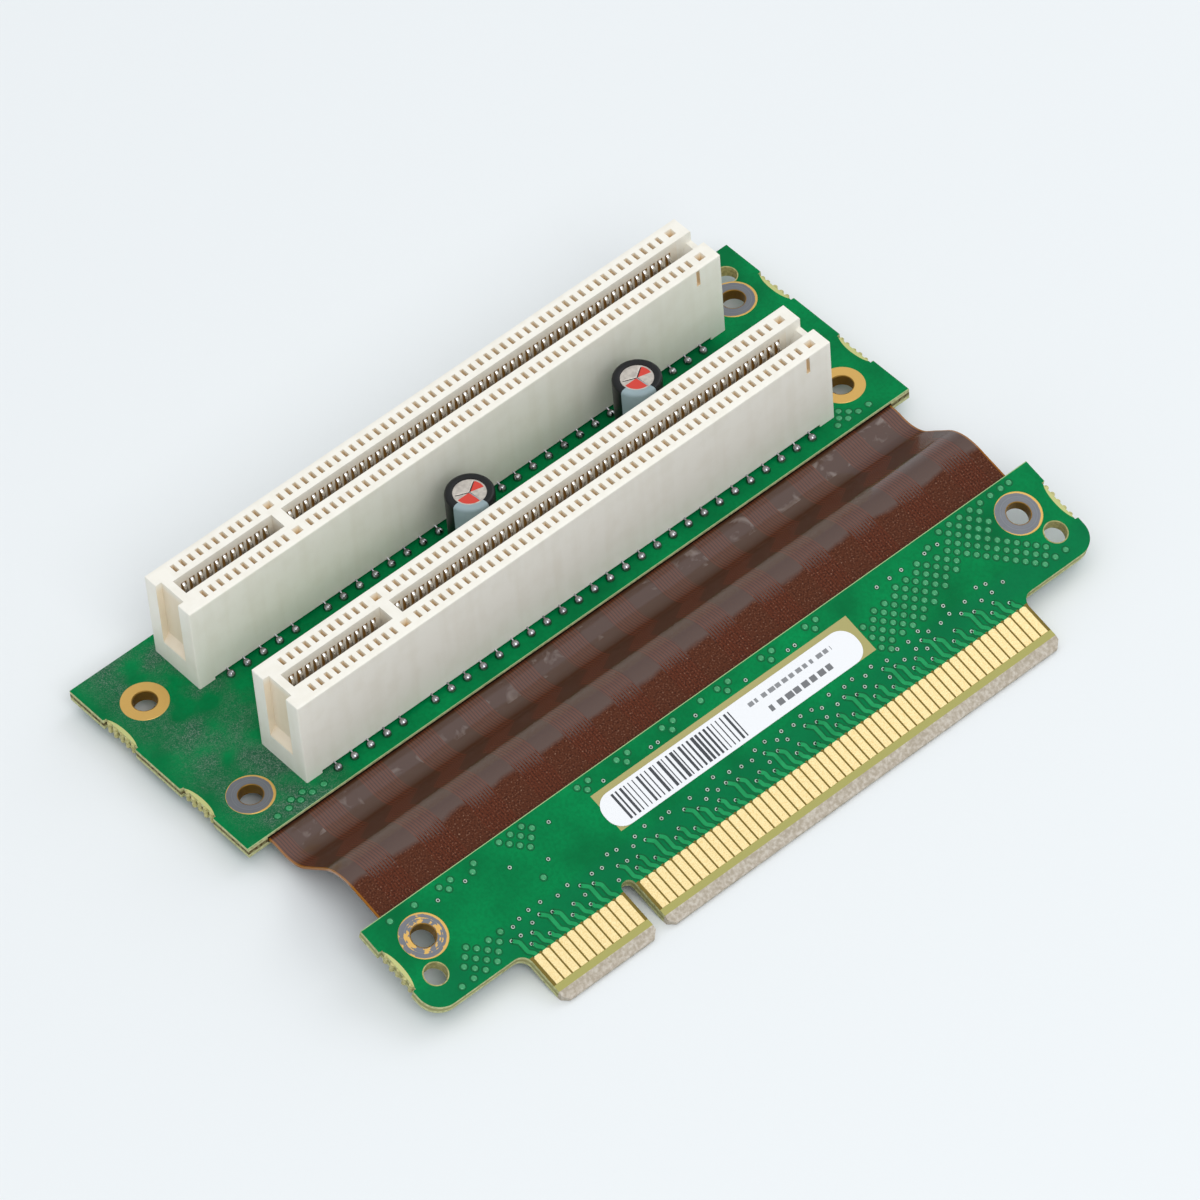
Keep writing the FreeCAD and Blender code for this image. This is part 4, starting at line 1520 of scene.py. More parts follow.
    def pull_slopes(self, points: np.ndarray) -> None:
        """Move points onto the sloped floors of the end notch and the left recess.

        Args:
            points: the moulding's points, changed in place.
        """
        start, end, left = self.card_right, self.right - self.end_wall, self.left
        x, y, z = points.T
        ramp = self.sill - self.ramp_height * (end - x) / (end - start)
        on_ramp = (x > start - NEAR) & (x < end + NEAR) & (abs(y) < self.card_gap / 2 + NEAR)
        on_ramp &= (z < self.sill + NEAR) & (z > ramp)
        points[on_ramp, 2] = ramp[on_ramp]
        rise = self.recess_floor + self.recess_slope * (x - left) / self.recess_depth
        in_recess = (x < left + self.recess_depth + NEAR) & (abs(y) < self.recess_width / 2 + NEAR)
        in_recess &= (z > self.recess_floor - NEAR) & (z < rise)
        points[in_recess, 2] = rise[in_recess]

    def taper_windows(self, points: np.ndarray) -> None:
        """Narrow the windows downwards.

        Args:
            points: the moulding's points, changed in place.
        """
        x, y, z = points.T
        slim = (self.window_width, self.window_length, self.window_depth, self.window_taper, 0.0)
        wide, taper, top = self.square_window, self.square_taper, self.height - NEAR
        square = (wide, wide, self.square_depth, taper, taper)
        funnels = [(spot, *slim) for spot in self.contacts] + [(spot, *square) for spot in self.squares]
        for middle, across, along, depth, taper_x, taper_y in funnels:
            inside = (abs(x - middle) < across / 2 + NEAR) & (z < top) & (z > top - depth)
            inside &= abs(abs(y) - self.window_row) < along / 2 + NEAR
            share = (self.height - z[inside]) / depth
            row = np.sign(y[inside]) * self.window_row
            points[inside, 0] = middle + (x[inside] - middle) * (1 - taper_x * share)
            points[inside, 1] = row + (y[inside] - row) * (1 - taper_y * share)

    def round_edges(self, points: np.ndarray) -> None:
        """Draw the outer edges in, so that they catch the light as moulded edges do.

        Args:
            points: the moulding's points, changed in place.
        """
        x, y, z = points.T
        at_end = (abs(x - self.left) < NEAR) | (abs(x - self.right) < NEAR)
        flags = np.stack([at_end, abs(abs(y) - self.width / 2) < NEAR, abs(z - self.height) < NEAR], 1)
        outward = np.stack([np.sign(x - (self.left + self.right) / 2), np.sign(y), np.ones(len(points))], 1)
        on_edge = flags.sum(1) >= 2
        points -= outward * flags * on_edge[:, None] * self.edge_round * (1 - math.sqrt(0.5))

    def build_springs(self) -> None:
        """A row of bent springs along each wall of the card gap."""
        gap, tip = self.card_gap / 2, self.height - self.band - self.spring_tip_gap
        path = smooth_line([(gap + out, tip - drop) for out, drop in self.spring_route], self.spring_steps)
        half, crown, last = self.spring_width / 2, self.spring_thickness / 2, len(path) - 1
        rings = []
        for index, (depth, height) in enumerate(path):
            ahead = path[min(index + 1, last)] - path[max(index - 1, 0)]
            forth, up = ahead / np.linalg.norm(ahead) * crown
            wide = half * (1 - self.spring_taper * index / last)
            section = self.spring_section
            rings.append([(across * wide, depth - out * up, height + out * forth) for across, out in section])
        for side in Side:
            spring = in_place(mirrored(lofted(rings), (1, side.value, 1)), (0.0, *self.place[1:]))
            mesh = contact_rows(spring, SPRING, CONTACT_PITCH, contact_groups(self.place[0]))
            word = f"{self.name}_{side.name.lower()}"
            settle(dressed(f"{word}_springs", mesh, SPRING, 50.0), "contact", f"{word}_contacts")

    def tail_rows(self) -> list[tuple[float, Groups]]:
        """The staggered rows of tails.

        Returns:
            Distance from the slot's middle and both groups' start and count, of the inner and the outer row.
        """
        later = self.first_tail + CONTACT_PITCH
        inner = ((self.first_tail, (SHORT_COUNT + 1) // 2), (later + LONG_START, LONG_COUNT // 2))
        outer = ((later, SHORT_COUNT // 2), (self.first_tail + LONG_START, (LONG_COUNT + 1) // 2))
        return [(self.inner_row, inner), (self.outer_row, outer)]

    def build_joints(self) -> None:
        """Cones of solder with the tail tips, under the board."""
        cone = solder_cone(self.cone_steps, self.cone_segments)
        meshes = []
        for row, groups in self.tail_rows():
            for side in Side:
                placed = in_place(cone, (0.0, self.place[1] + side.value * row, TAIL_LENGTH))
                meshes.append(contact_rows(placed, SOLDER, 2 * CONTACT_PITCH, groups))
        settle(merged(f"{self.name}_solder_cones", meshes, SOLDER), "solder", f"{self.name}_solder_joints")

    def build_beads(self) -> None:
        """Beads of solder on the board's top, each with the tail that runs in under the slot."""
        angles = np.linspace(0, math.pi / 2, self.bead_steps)[:-1]
        arc = [(self.bead_radius * math.cos(a), self.bead_height * math.sin(a)) for a in angles]
        bead, faces = lathe([(0.0, 0.0), *arc, (0.0, self.bead_height)], self.bead_segments)
        row, groups = self.tail_rows()[1]
        end = (0.0, self.width / 2 - self.pin_reach, self.foot_height + self.pin_rise)
        pin = rod((0.0, row, self.pin_foot), end, self.pin_radius, self.pin_segments)
        tail = joined([(bead + (0.0, row, 0.0), faces), pin])
        both = joined(mirrored(tail, (1, side.value, 1)) for side in Side)
        mesh = contact_rows(in_place(both, (0.0, *self.place[1:])), SOLDER, 2 * CONTACT_PITCH, groups)
        settle(dressed(f"{self.name}_solder_beads", mesh, SOLDER, 45.0), "solder")


@dataclass
class Board:
    """One of the two green boards, with what is printed, plated and soldered on it.

    Attributes:
        dip_shift: how far the solder's round lies off a hole's middle, so that the gold rim is a crescent.
        tooth_depth: how far a break-off mark goes into the board.
        tooth_inset: how far its stubs lie below the faces.
        film: half the height of a flat mark, from the lowest to the highest layer.
    """

    name: str
    axes: BoardFrame
    ring_radius: float = 3.05
    hole_radius: float = 1.6
    ring_height: float = 0.035
    ring_bevel: float = 0.05
    ring_steps: tuple[float, ...] = (2.92, 2.8, 2.5, 2.1, 1.72)
    ring_segments: int = 56
    barrel_wall: float = 0.07
    barrel_round: float = 0.06
    dip_shift: Spot = (-0.14, 0.03)
    tooling_radius: float = 1.475
    rim_width: float = 0.12
    rim_lift: float = 0.012
    rim_segments: int = 48
    wall_lap: float = 0.02
    wall_thickness: float = 0.01
    dome_radius: float = 0.4
    dome_height: float = 0.17
    halo_radius: float = 0.56
    pad_radius: float = 0.24
    pad_gap: float = 0.14
    via_hole_radius: float = 0.13
    bend_radius: float = 0.5
    tooth_radius: float = 0.34
    tooth_jitter: float = 0.14
    tooth_depth: float = 0.42
    tooth_count: int = 5
    tooth_spacing: float = 1.15
    tooth_inset: float = 0.05
    tooth_seed: int = 3
    film: tuple[float, ...] = (0.008, 0.012, 0.03, 0.034)

    def coat(self, finish: MaskedLaminate) -> None:
        """Give the CAD node its mask and laminate.

        Args:
            finish: what its surface is.
        """
        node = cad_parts[self.name]
        node.data.materials.clear()
        node.data.materials.append(finish.material())
        log.info("%s: coated", self.name)

    def collar(self, upper: Sequence[Spot], segments: int) -> Solid:
        """Turn a profile together with its mirror image in the mid-plane."""
        lower = [(radius, -height) for radius, height in reversed(upper)]
        return lathe([*lower, *upper], segments, closed=True)

    def ring(self, x: float, y: float, plating: Plating, word: str) -> None:
        """A plated hole: a flat ring on both faces and the barrel between them.

        Args:
            x: place along the board.
            y: place across it.
            plating: what covers the copper.
            word: which hole this is.
        """
        outer, inner = self.ring_radius, self.hole_radius - self.barrel_wall
        top, edge = BOARD_HALF + self.ring_height, self.barrel_round
        flat = [(radius, top) for radius in (outer - self.ring_bevel, *self.ring_steps, inner + edge)]
        points, faces = self.collar([(outer, BOARD_HALF), *flat, (inner, top - edge)], self.ring_segments)
        finish = RingPlating(f"plated_ring_{plating.value}", plating)
        solid = self.axes.place(points + (x, y, 0.0)), faces
        piece = new_object(f"{self.name}_{word}_plated_hole", solid, finish, 35.0)
        for label, (shift_x, shift_y) in (("radius", (0.0, 0.0)), ("dip", self.dip_shift)):
            layer = piece.data.attributes.new(label, "FLOAT", "POINT")
            layer.data.foreach_set("value", np.hypot(points[:, 0] - shift_x, points[:, 1] - shift_y))
        settle(piece, "gold" if plating is Plating.GOLD else "solder")

    def rim(self, x: float, y: float, word: str) -> None:
        """The bare rim of a tooling hole, where the mask stops short on both faces.

        Args:
            x: place along the board.
            y: place across it.
            word: which hole this is.
        """
        inner, outer = self.tooling_radius - self.wall_lap, self.tooling_radius + self.rim_width
        top, thick = BOARD_HALF + self.rim_lift, self.wall_thickness
        upper = [(inner + thick, top - 3 * thick), (outer, top - thick), (outer, top), (inner, top)]
        points, faces = self.collar(upper, self.rim_segments)
        solid = self.axes.place(points + (x, y, 0.0)), faces
        settle(new_object(f"{self.name}_{word}_rim", solid, HOLE_WALL, 35.0), "laminate")

    def grow(self, word: str, tree: Tree, finish: Finish, points: Sequence[Point],
             edges: Sequence[Edge] = (), slot: str = "laminate", smooth: float = 50.0,
             **sizes: float) -> None:
        """Make a piece of many small marks by a tree that turns with the board.

        Args:
            word: what the marks are.
            tree: the tree that makes them.
            finish: what their surface is.
            points: their places in the board's axes.
            edges: pairs of points that lines join.
            slot: the record's material slot.
            smooth: turn in degrees past which an edge stays sharp.
            sizes: the tree's sizes in millimetres.
        """
        values = {name: size * MM for name, size in sizes.items()}
        values |= {"Tilt": self.axes.tilt, "Origin": self.axes.origin()}
        mesh = grown(tree, finish, np.array(points) * MM, edges=edges, **values)
        settle(dressed(f"{self.name}_{word}", mesh, finish, smooth), slot)

    def lines(self, word: str, routes: list[list[Spot]], width: float, height: float, finish: Finish) -> None:
        """Flat raised lines on both of the board's faces.

        Args:
            word: what the lines are.
            routes: the points of each, in the board's axes.
            width: their width.
            height: how far they stand above the face.
            finish: what their surface is.
        """
        points, edges = [], []
        for side in (1, -1):
            for route in routes:
                edges += [(len(points) + step, len(points) + step + 1) for step in range(len(route) - 1)]
                points += [(x, y, side * BOARD_HALF) for x, y in route]
        sizes = dict(Width=width, Thickness=2 * height, Bend=self.bend_radius)
        self.grow(word, ribbon_tree(), finish, points, edges, smooth=20.0, **sizes)

    def dots(self, word: str, spots: Sequence[Spot], form: Dot, radius: float, height: float, finish: Finish,
             slot: str = "laminate") -> None:
        """Small marks on both of the board's faces, with a radius and half their height."""
        points = [(x, y, side * BOARD_HALF) for side in (1, -1) for x, y in spots]
        self.grow(word, dot_tree(form), finish, points, slot=slot, Radius=radius, Height=height)

    def tented_vias(self, spots: Sequence[Spot], height: float) -> None:
        """Vias covered by the mask: low ring-crested domes, each in a darker ring."""
        self.dots("via_halos", spots, Dot.DISC, self.halo_radius, self.film[0], GAP)
        self.dots("tented_vias", spots, Dot.DOME, self.dome_radius, height, TENTED)

    def open_vias(self, spots: Sequence[Spot]) -> None:
        """Tinned rings with a hole of painted dark shade, each in a dark ring of mask.

        Args:
            spots: their places in the board's axes.
        """
        self.dots("via_clearances", spots, Dot.DISC, self.pad_radius + self.pad_gap, self.film[1], GAP)
        self.dots("via_pads", spots, Dot.DISC, self.pad_radius, self.film[2], VIA_PAD, "solder")
        self.dots("via_holes", spots, Dot.DISC, self.via_hole_radius, self.film[3], VIA_HOLE)

    def teeth(self, middles: Sequence[float]) -> None:
        """The stubs left between the drilled break-off holes on both short sides.

        Args:
            middles: y of the middle of each mark.
        """
        pick = random.Random(self.tooth_seed)
        points = []
        for sign in (-1, 1):
            for middle in middles:
                start = middle - (self.tooth_count - 1) / 2 * self.tooth_spacing
                for step in range(self.tooth_count):
                    y = start + step * self.tooth_spacing + pick.uniform(-1, 1) * self.tooth_jitter
                    x = HALF_LENGTH - self.tooth_depth + pick.uniform(-1, 0.2) * self.tooth_jitter
                    points.append((sign * x, y, 0.0))
        sizes = dict(Radius=self.tooth_radius, Height=BOARD_HALF - self.tooth_inset)
        self.grow("break_off_stubs", dot_tree(Dot.DISC), BARE_RIM, points, **sizes)


@dataclass
class SlotBoard(Board):
    """The flat board under the two slots.

    Attributes:
        bites: y of the middle of each break-off mark.
        via_rows: start x, y, spacing and count of each row of covered vias.
    """

    hole_x: float = 47.5
    front_row: float = 6.3
    rear_row: float = 26.5
    tooling: Spot = (49.5, 30.2)
    bites: Spot = (9.7, 24.5)
    low_dome: float = 0.6
    via_rows: tuple[ViaRow, ...] = (
        (-47.3, 1.5, 1.8, 5), (-44.5, 2.36, 1.75, 2),
        (42.7, 1.6, 1.7, 4), (43.6, 2.4, 1.6, 2), (44.3, 3.3, 0.0, 1),
    )

    def build(self) -> None:
        """Coat the board, then add its rings, vias and break-off stubs."""
        low, high = self.bites
        marks = dict(bite_mid=(low + high) / 2, bite_half_spacing=(high - low) / 2)
        self.coat(MaskedLaminate("green_mask_on_glass_epoxy_slot_board", self.axes, haze=1.0, **marks))
        self.ring(-self.hole_x, self.front_row, Plating.SOLDER, "front_left")
        self.ring(-self.hole_x, self.rear_row, Plating.GOLD, "rear_left")
        self.ring(self.hole_x, self.front_row, Plating.GOLD, "front_right")
        self.ring(self.hole_x, self.rear_row, Plating.SOLDER, "rear_right")
        self.rim(*self.tooling, "tooling_hole")
        spots = [(x + step * pitch, y) for x, y, pitch, count in self.via_rows for step in range(count)]
        self.tented_vias(spots, self.dome_height * self.low_dome)
        self.teeth(self.bites)


@dataclass
class EdgeBoard(Board):
    """The tilted board with the card edge.

    Attributes:
        field: bare field under the label as centre x, centre y, half length and half width.
        openings: the mask's other openings, between the fingers and along the bevel.
        lattice: spacing of the covered vias along a row, and of the rows.
        lattice_start: x and y that the lattice is counted from.
        stretches: reach round a line, and the line's points, where the lattice has vias.
        clusters: x of the middle of each group of three vias beside the film.
        cluster: offset from that middle, and y, of each of the three.
        via_rows: start x, y, spacing and count of further rows of covered vias.
        open_y: y of the row of open vias beside the film.
        open_row: x of each of them.
        rhythm: rise, slant, run and turn of five neighbouring copper lines.
        via_strip: lowest and highest y of the strip above the fingers.
    """

    hole: Spot = (47.5, -4.9)
    tooling: Spot = (49.5, -9.55)
    bite: float = -6.55
    field: Four = (0.575, -5.64, 20.375, 2.85)
    field_code: str = "#A9A26C"
    openings: tuple[Opening, ...] = (
        (0.3, -17.4, 42.0, 2.7, -BOARD_HALF, "#75652F"), (0.3, -20.3, 60.0, 1.15, -BOARD_HALF, "#A6A262"),
    )
    etched_strip: Spot = (-11.9, 2.6)
    bevel_start: float = -20.05
    film_line: str = "#8F8C60"
    lattice: Spot = (1.7, 0.855)
    lattice_start: Spot = (0.4, -0.97)
    lattice_rows: int = 14
    lattice_half: int = 31
    stretches: tuple[tuple[float, tuple[Spot, ...]], ...] = (
        (2.6, ((45.5, -0.9), (38.5, -3.0), (33.0, -5.0), (27.0, -6.5), (22.8, -7.0))),
        (1.8, ((41.0, -6.0), (47.5, -11.5))),
    )
    clusters: tuple[float, ...] = (-19.5, -13.3, -6.1, 2.7, 9.7, 16.8)
    cluster: tuple[Spot, ...] = ((-0.85, -1.0), (0.85, -1.0), (0.0, -1.92))
    via_rows: tuple[ViaRow, ...] = (
        (-44.46, -9.06, 1.82, 1), (-45.36, -9.95, 1.82, 4), (-46.27, -10.87, 1.82, 4),
        (-45.36, -11.78, 1.82, 3), (-48.1, -12.69, 1.82, 4), (-32.5, -0.91, 1.75, 3),
        (-31.62, -1.81, 1.75, 3), (-30.74, -2.71, 1.75, 2), (-29.86, -3.61, 1.75, 1),
    )
    lone_vias: tuple[Spot, ...] = (
        (-0.8, -1.0), (-36.7, -1.2), (-37.5, -2.0), (-40.3, -1.2), (-42.0, -1.2),
        (-41.2, -2.05), (-45.85, -1.2), (-49.5, -1.1), (-31.2, -7.6), (49.35, -0.97),
    )
    open_y: float = -2.15
    open_row: tuple[float, ...] = (-17.2, -9.7, -8.6, -2.6, 5.4, 12.2, 13.3, 26.6, 28.7, 30.6, 34.4, 36.5)
    open_lone: tuple[Spot, ...] = (
        (-43.2, -2.4), (-39.0, -2.4), (-33.6, -4.2), (-29.2, -6.1), (-26.0, -2.4), (31.5, -8.9), (36.4, -9.4),
        (39.6, -10.8),
    )
    rhythm: tuple[Four, ...] = (
        (0.3, 0.55, 1.5, 0.65), (0.3, 0.5, 0.25, 0.3), (0.3, 0.6, 0.9, 0.45),
        (0.25, 0.5, 0.2, 0.2), (0.3, 0.6, 1.9, 0.8),
    )
    run_spread: float = 0.35
    run_seed: int = 7
    line_tuck: float = 0.1
    line_width: float = 0.52
    line_gap: float = 0.2
    via_gap: float = 1.25
    via_strip: Spot = (-13.9, -9.6)
    via_tries: int = 1500
    via_seed: int = 11
    line_near: float = 4.0
    edge_margin: Spot = (51.5, -12.7)
    field_margin: float = 0.7
    ring_margin: float = 0.75
    tooling_margin: float = 2.4

    def __post_init__(self) -> None:
        """Take the first finger's place from its CAD node, and list the open vias beside the film and the
        scattered ones.
        """
        self.first_finger = box_mm("top_fingers")[0][0] + FINGER_HALF
        self.open_spots = [(x, self.open_y) for x in self.open_row] + list(self.open_lone)

    def build(self) -> None:
        """Coat the board, then add its rings, vias, lines and break-off stubs."""
        bare = ((*self.field, 0.0, self.field_code), *self.openings)
        edges = dict(sparse=self.etched_strip, bevel_start=self.bevel_start, film_line=self.film_line)
        name = "green_mask_on_glass_epoxy_edge_board"
        self.coat(MaskedLaminate(name, self.axes, bare, self.bite, **edges))
        self.ring(-self.hole[0], self.hole[1], Plating.WORN, "left")
        self.ring(*self.hole, Plating.SOLDER, "right")
        self.rim(-self.tooling[0], self.tooling[1], "left_tooling_hole")
        self.rim(*self.tooling, "right_tooling_hole")
        self.tented_vias(self.tented_spots(), self.dome_height)
        routes = self.routes()
        self.lines("line_clearances", routes, self.line_width + 2 * self.line_gap, self.film[1], GAP)
        self.lines("copper_lines", routes, self.line_width, self.film[2], TRACE)
        self.open_vias(self.strip_vias(routes))
        self.teeth((self.bite,))

    def tented_spots(self) -> list[Spot]:
        """Places of the covered vias: a staggered lattice in a few stretches, clusters, rows and single ones.

        Returns:
            Pairs of x and y in the board's axes.
        """
        pitch, drop = self.lattice
        spots = []
        for row in range(self.lattice_rows):
            y = self.lattice_start[1] - row * drop
            for step in range(-self.lattice_half, self.lattice_half + 1):
                x = step * pitch + (pitch / 2 if row % 2 else 0.0) + self.lattice_start[0]
                near = any(reach > distance((x, y), line) for reach, line in self.stretches)
                alone = all(math.dist((x, y), spot) > drop for spot in self.open_spots)
                if near and alone and self.clear(x, y):
                    spots.append((x, y))
        spots += [(x + aside, y) for x in self.clusters for aside, y in self.cluster]
        spots += [(x + step * pitch, y) for x, y, pitch, count in self.via_rows for step in range(count)]
        return spots + list(self.lone_vias)

    def clear(self, x: float, y: float) -> bool:
        """Whether a via misses the holes, the label's field and the edges.

        Args:
            x: its place along the board.
            y: its place across it.

        Returns:
            True where it does.
        """
        hole, tooling = (math.hypot(abs(x) - spot[0], y - spot[1]) for spot in (self.hole, self.tooling))
        middle_x, middle_y, half_x, half_y = self.field
        reach_x, reach_y = half_x + self.field_margin, half_y + self.field_margin
        on_field = abs(x - middle_x) < reach_x and abs(y - middle_y) < reach_y
        on_board = abs(x) < self.edge_margin[0] and y > self.edge_margin[1]
        off_holes = hole > self.ring_radius + self.ring_margin and tooling > self.tooling_margin
        return off_holes and on_board and not on_field

    def routes(self) -> list[list[Spot]]:
        """Copper lines from the finger tops: up, aslant, up again and aslant to a via, in a rhythm of five.

        Returns:
            The points of each line in the board's axes.
        """
        pick = random.Random(self.run_seed)
        routes = []
        for start, count in contact_groups(self.first_finger):
            for step in range(count):
                rise, slant, run, turn = self.rhythm[step % len(self.rhythm)]
                x = start + step * CONTACT_PITCH
                knee = FINGER_TOP + rise
                top = knee + slant + run + pick.uniform(0.0, self.run_spread)
                foot, aside = (x, FINGER_TOP - self.line_tuck), x - slant
                end = (aside - turn, top + turn)
                routes.append([foot, (x, knee), (aside, knee + slant), (aside, top), end])
        return routes

    def strip_vias(self, routes: list[list[Spot]]) -> list[Spot]:
        """The open vias: one at each line's end, the scattered ones, and more that fill the strip.

        Args:
            routes: the copper lines.

        Returns:
            All the open vias.
        """
        pick = random.Random(self.via_seed)
        filled = [route[-1] for route in routes] + self.open_spots
        for _ in range(self.via_tries):
            x = pick.uniform(self.first_finger, self.first_finger + LAST_CONTACT)
            spot = (x, pick.uniform(*self.via_strip))
            lonely = all(math.dist(spot, other) > self.via_gap for other in filled)
            near = (route for route in routes if abs(route[0][0] - x) < self.line_near)
            if lonely and all(distance(spot, route) > self.line_width + self.line_gap for route in near):
                filled.append(spot)
        return filled


@dataclass
class CardEdge:
    """The two rows of gold fingers, with clipped upper corners as they are etched."""

    axes: BoardFrame
    length: float = 4.35
    thickness: float = 0.05
    clip: float = 0.2
    bevel: float = 0.03

    def build(self) -> None:
        """Make the top row and its mirror image on the under face."""
        half, clip, low, high = FINGER_HALF, self.clip, FINGER_TOP - self.length, FINGER_TOP
        right = [(half, low), (half, high - clip), (half - clip, high)]
        outline = [(-half, low), *right, *((-x, y) for x, y in right[:0:-1])]
        slope = self.bevel
        inner = [(x * (1 - slope / half), y + (slope if y == low else -slope)) for x, y in outline]
        levels = ((outline, BOARD_HALF), (inner, BOARD_HALF + self.thickness))
        finger = lofted([[(x, y, z) for x, y in ring] for ring, z in levels])
        for sign, word in ((1, "top"), (-1, "bottom")):
            points, faces = mirrored(finger, (1, 1, sign))
            groups = contact_groups(box_mm(f"{word}_fingers")[0][0] + half)
            mesh = contact_rows((self.axes.place(points), faces), GOLD, CONTACT_PITCH, groups)
            settle(dressed(f"{word}_gold_fingers", mesh, GOLD, 20.0), "gold", f"{word}_fingers")


@dataclass
class FlexCircuit:
    """The bent film between the boards, swept along the line that the CAD sheet follows.

    Attributes:
        axes: the slot board's axes, where the film starts.
        tuck: how far the film goes into each board.
        dip: radius and turn in degrees of its first bend; valley and hump are the next two.
        step: longest division along it.
        ripple: how far it waves, with the waves' scales across and along it and their seed.
        ripple_fade: length over which the waves die out towards the boards.
    """

    axes: BoardFrame
    half_width: float = 50.0
    thickness: float = 0.29
    tuck: float = 2.95
    lead: float = 0.5
    dip: Spot = (5.0, 18.0)
    valley: Spot = (5.0, 58.0)
    ramp: float = 5.367
    hump: Spot = (6.0, 57.1)
    tail: float = 4.8
    across: int = 200
    step: float = 0.2
    ripple: Four = (0.035, 0.16, 0.35, 3.7)
    ripple_fade: float = 2.0

    def path(self) -> list[Four]:
        """The sheet's middle line.

        Returns:
            Distance along the line, y, z and slope in radians of each point.
        """
        bends = ((self.dip, -1), (self.valley, 1), (self.hump, -1))
        dip, valley, hump = ((radius * math.radians(turn), sign / radius) for (radius, turn), sign in bends)
        lead, ramp, tail = (self.tuck + self.lead, 0.0), (self.ramp, 0.0), (self.tail + self.tuck, 0.0)
        line = [(0.0, self.axes.y + self.tuck, self.axes.z, 0.0)]
        for length, bend in (lead, dip, valley, ramp, hump, tail):
            steps = max(2, math.ceil(length / self.step))
            way = length / steps
            for _ in range(steps):
                gone, y, z, slope = line[-1]
                middle = slope + bend * way / 2
                spot = (y - math.cos(middle) * way, z + math.sin(middle) * way)
                line.append((gone + way, *spot, slope + bend * way))
        return line

    def build(self) -> None:
        """Make the sheet with its map: x across and distance along, in metres."""
        line = self.path()
        total = line[-1][0]
        columns = np.linspace(-self.half_width, self.half_width, self.across + 1)
        swing, scale_x, scale_along, seed = self.ripple
        points, maps, faces = [], [], []
        for gone, y, z, slope in line:
            free = np.clip((min(gone, total - gone) - self.tuck) / self.ripple_fade, 0.0, 1.0)
            for sign in (1, -1):
                for x in columns[::-sign]:
                    wave = noise.noise((x * scale_x, gone * scale_along, seed)) * swing * free
                    out = sign * self.thickness / 2 + wave
                    points.append((x, y + math.sin(slope) * out, z + math.cos(slope) * out))
                    maps.append((x * MM, (gone - self.tuck) * MM))
        wide, around = len(columns), 2 * len(columns)
        last = len(points) - around
        for start in range(0, last, around):
            faces += band(start, start + around, around)
        for step in range(wide - 1):
            quad = (wide - 1 - step, wide - 2 - step, wide + step + 1, wide + step)
            faces += [quad, tuple(last + corner for corner in quad[::-1])]
        finish = PolyimideFilm("polyimide_cover_film")
        piece = new_object("flexible_circuit", (np.array(points) * MM, faces), finish, 50.0)
        corners = np.zeros(len(piece.data.loops), int)
        piece.data.loops.foreach_get("vertex_index", corners)
        piece.data.uv_layers.new(name="sheet").data.foreach_set("uv", np.array(maps)[corners].ravel())
        settle(piece, "polyimide", "flex_circuit")


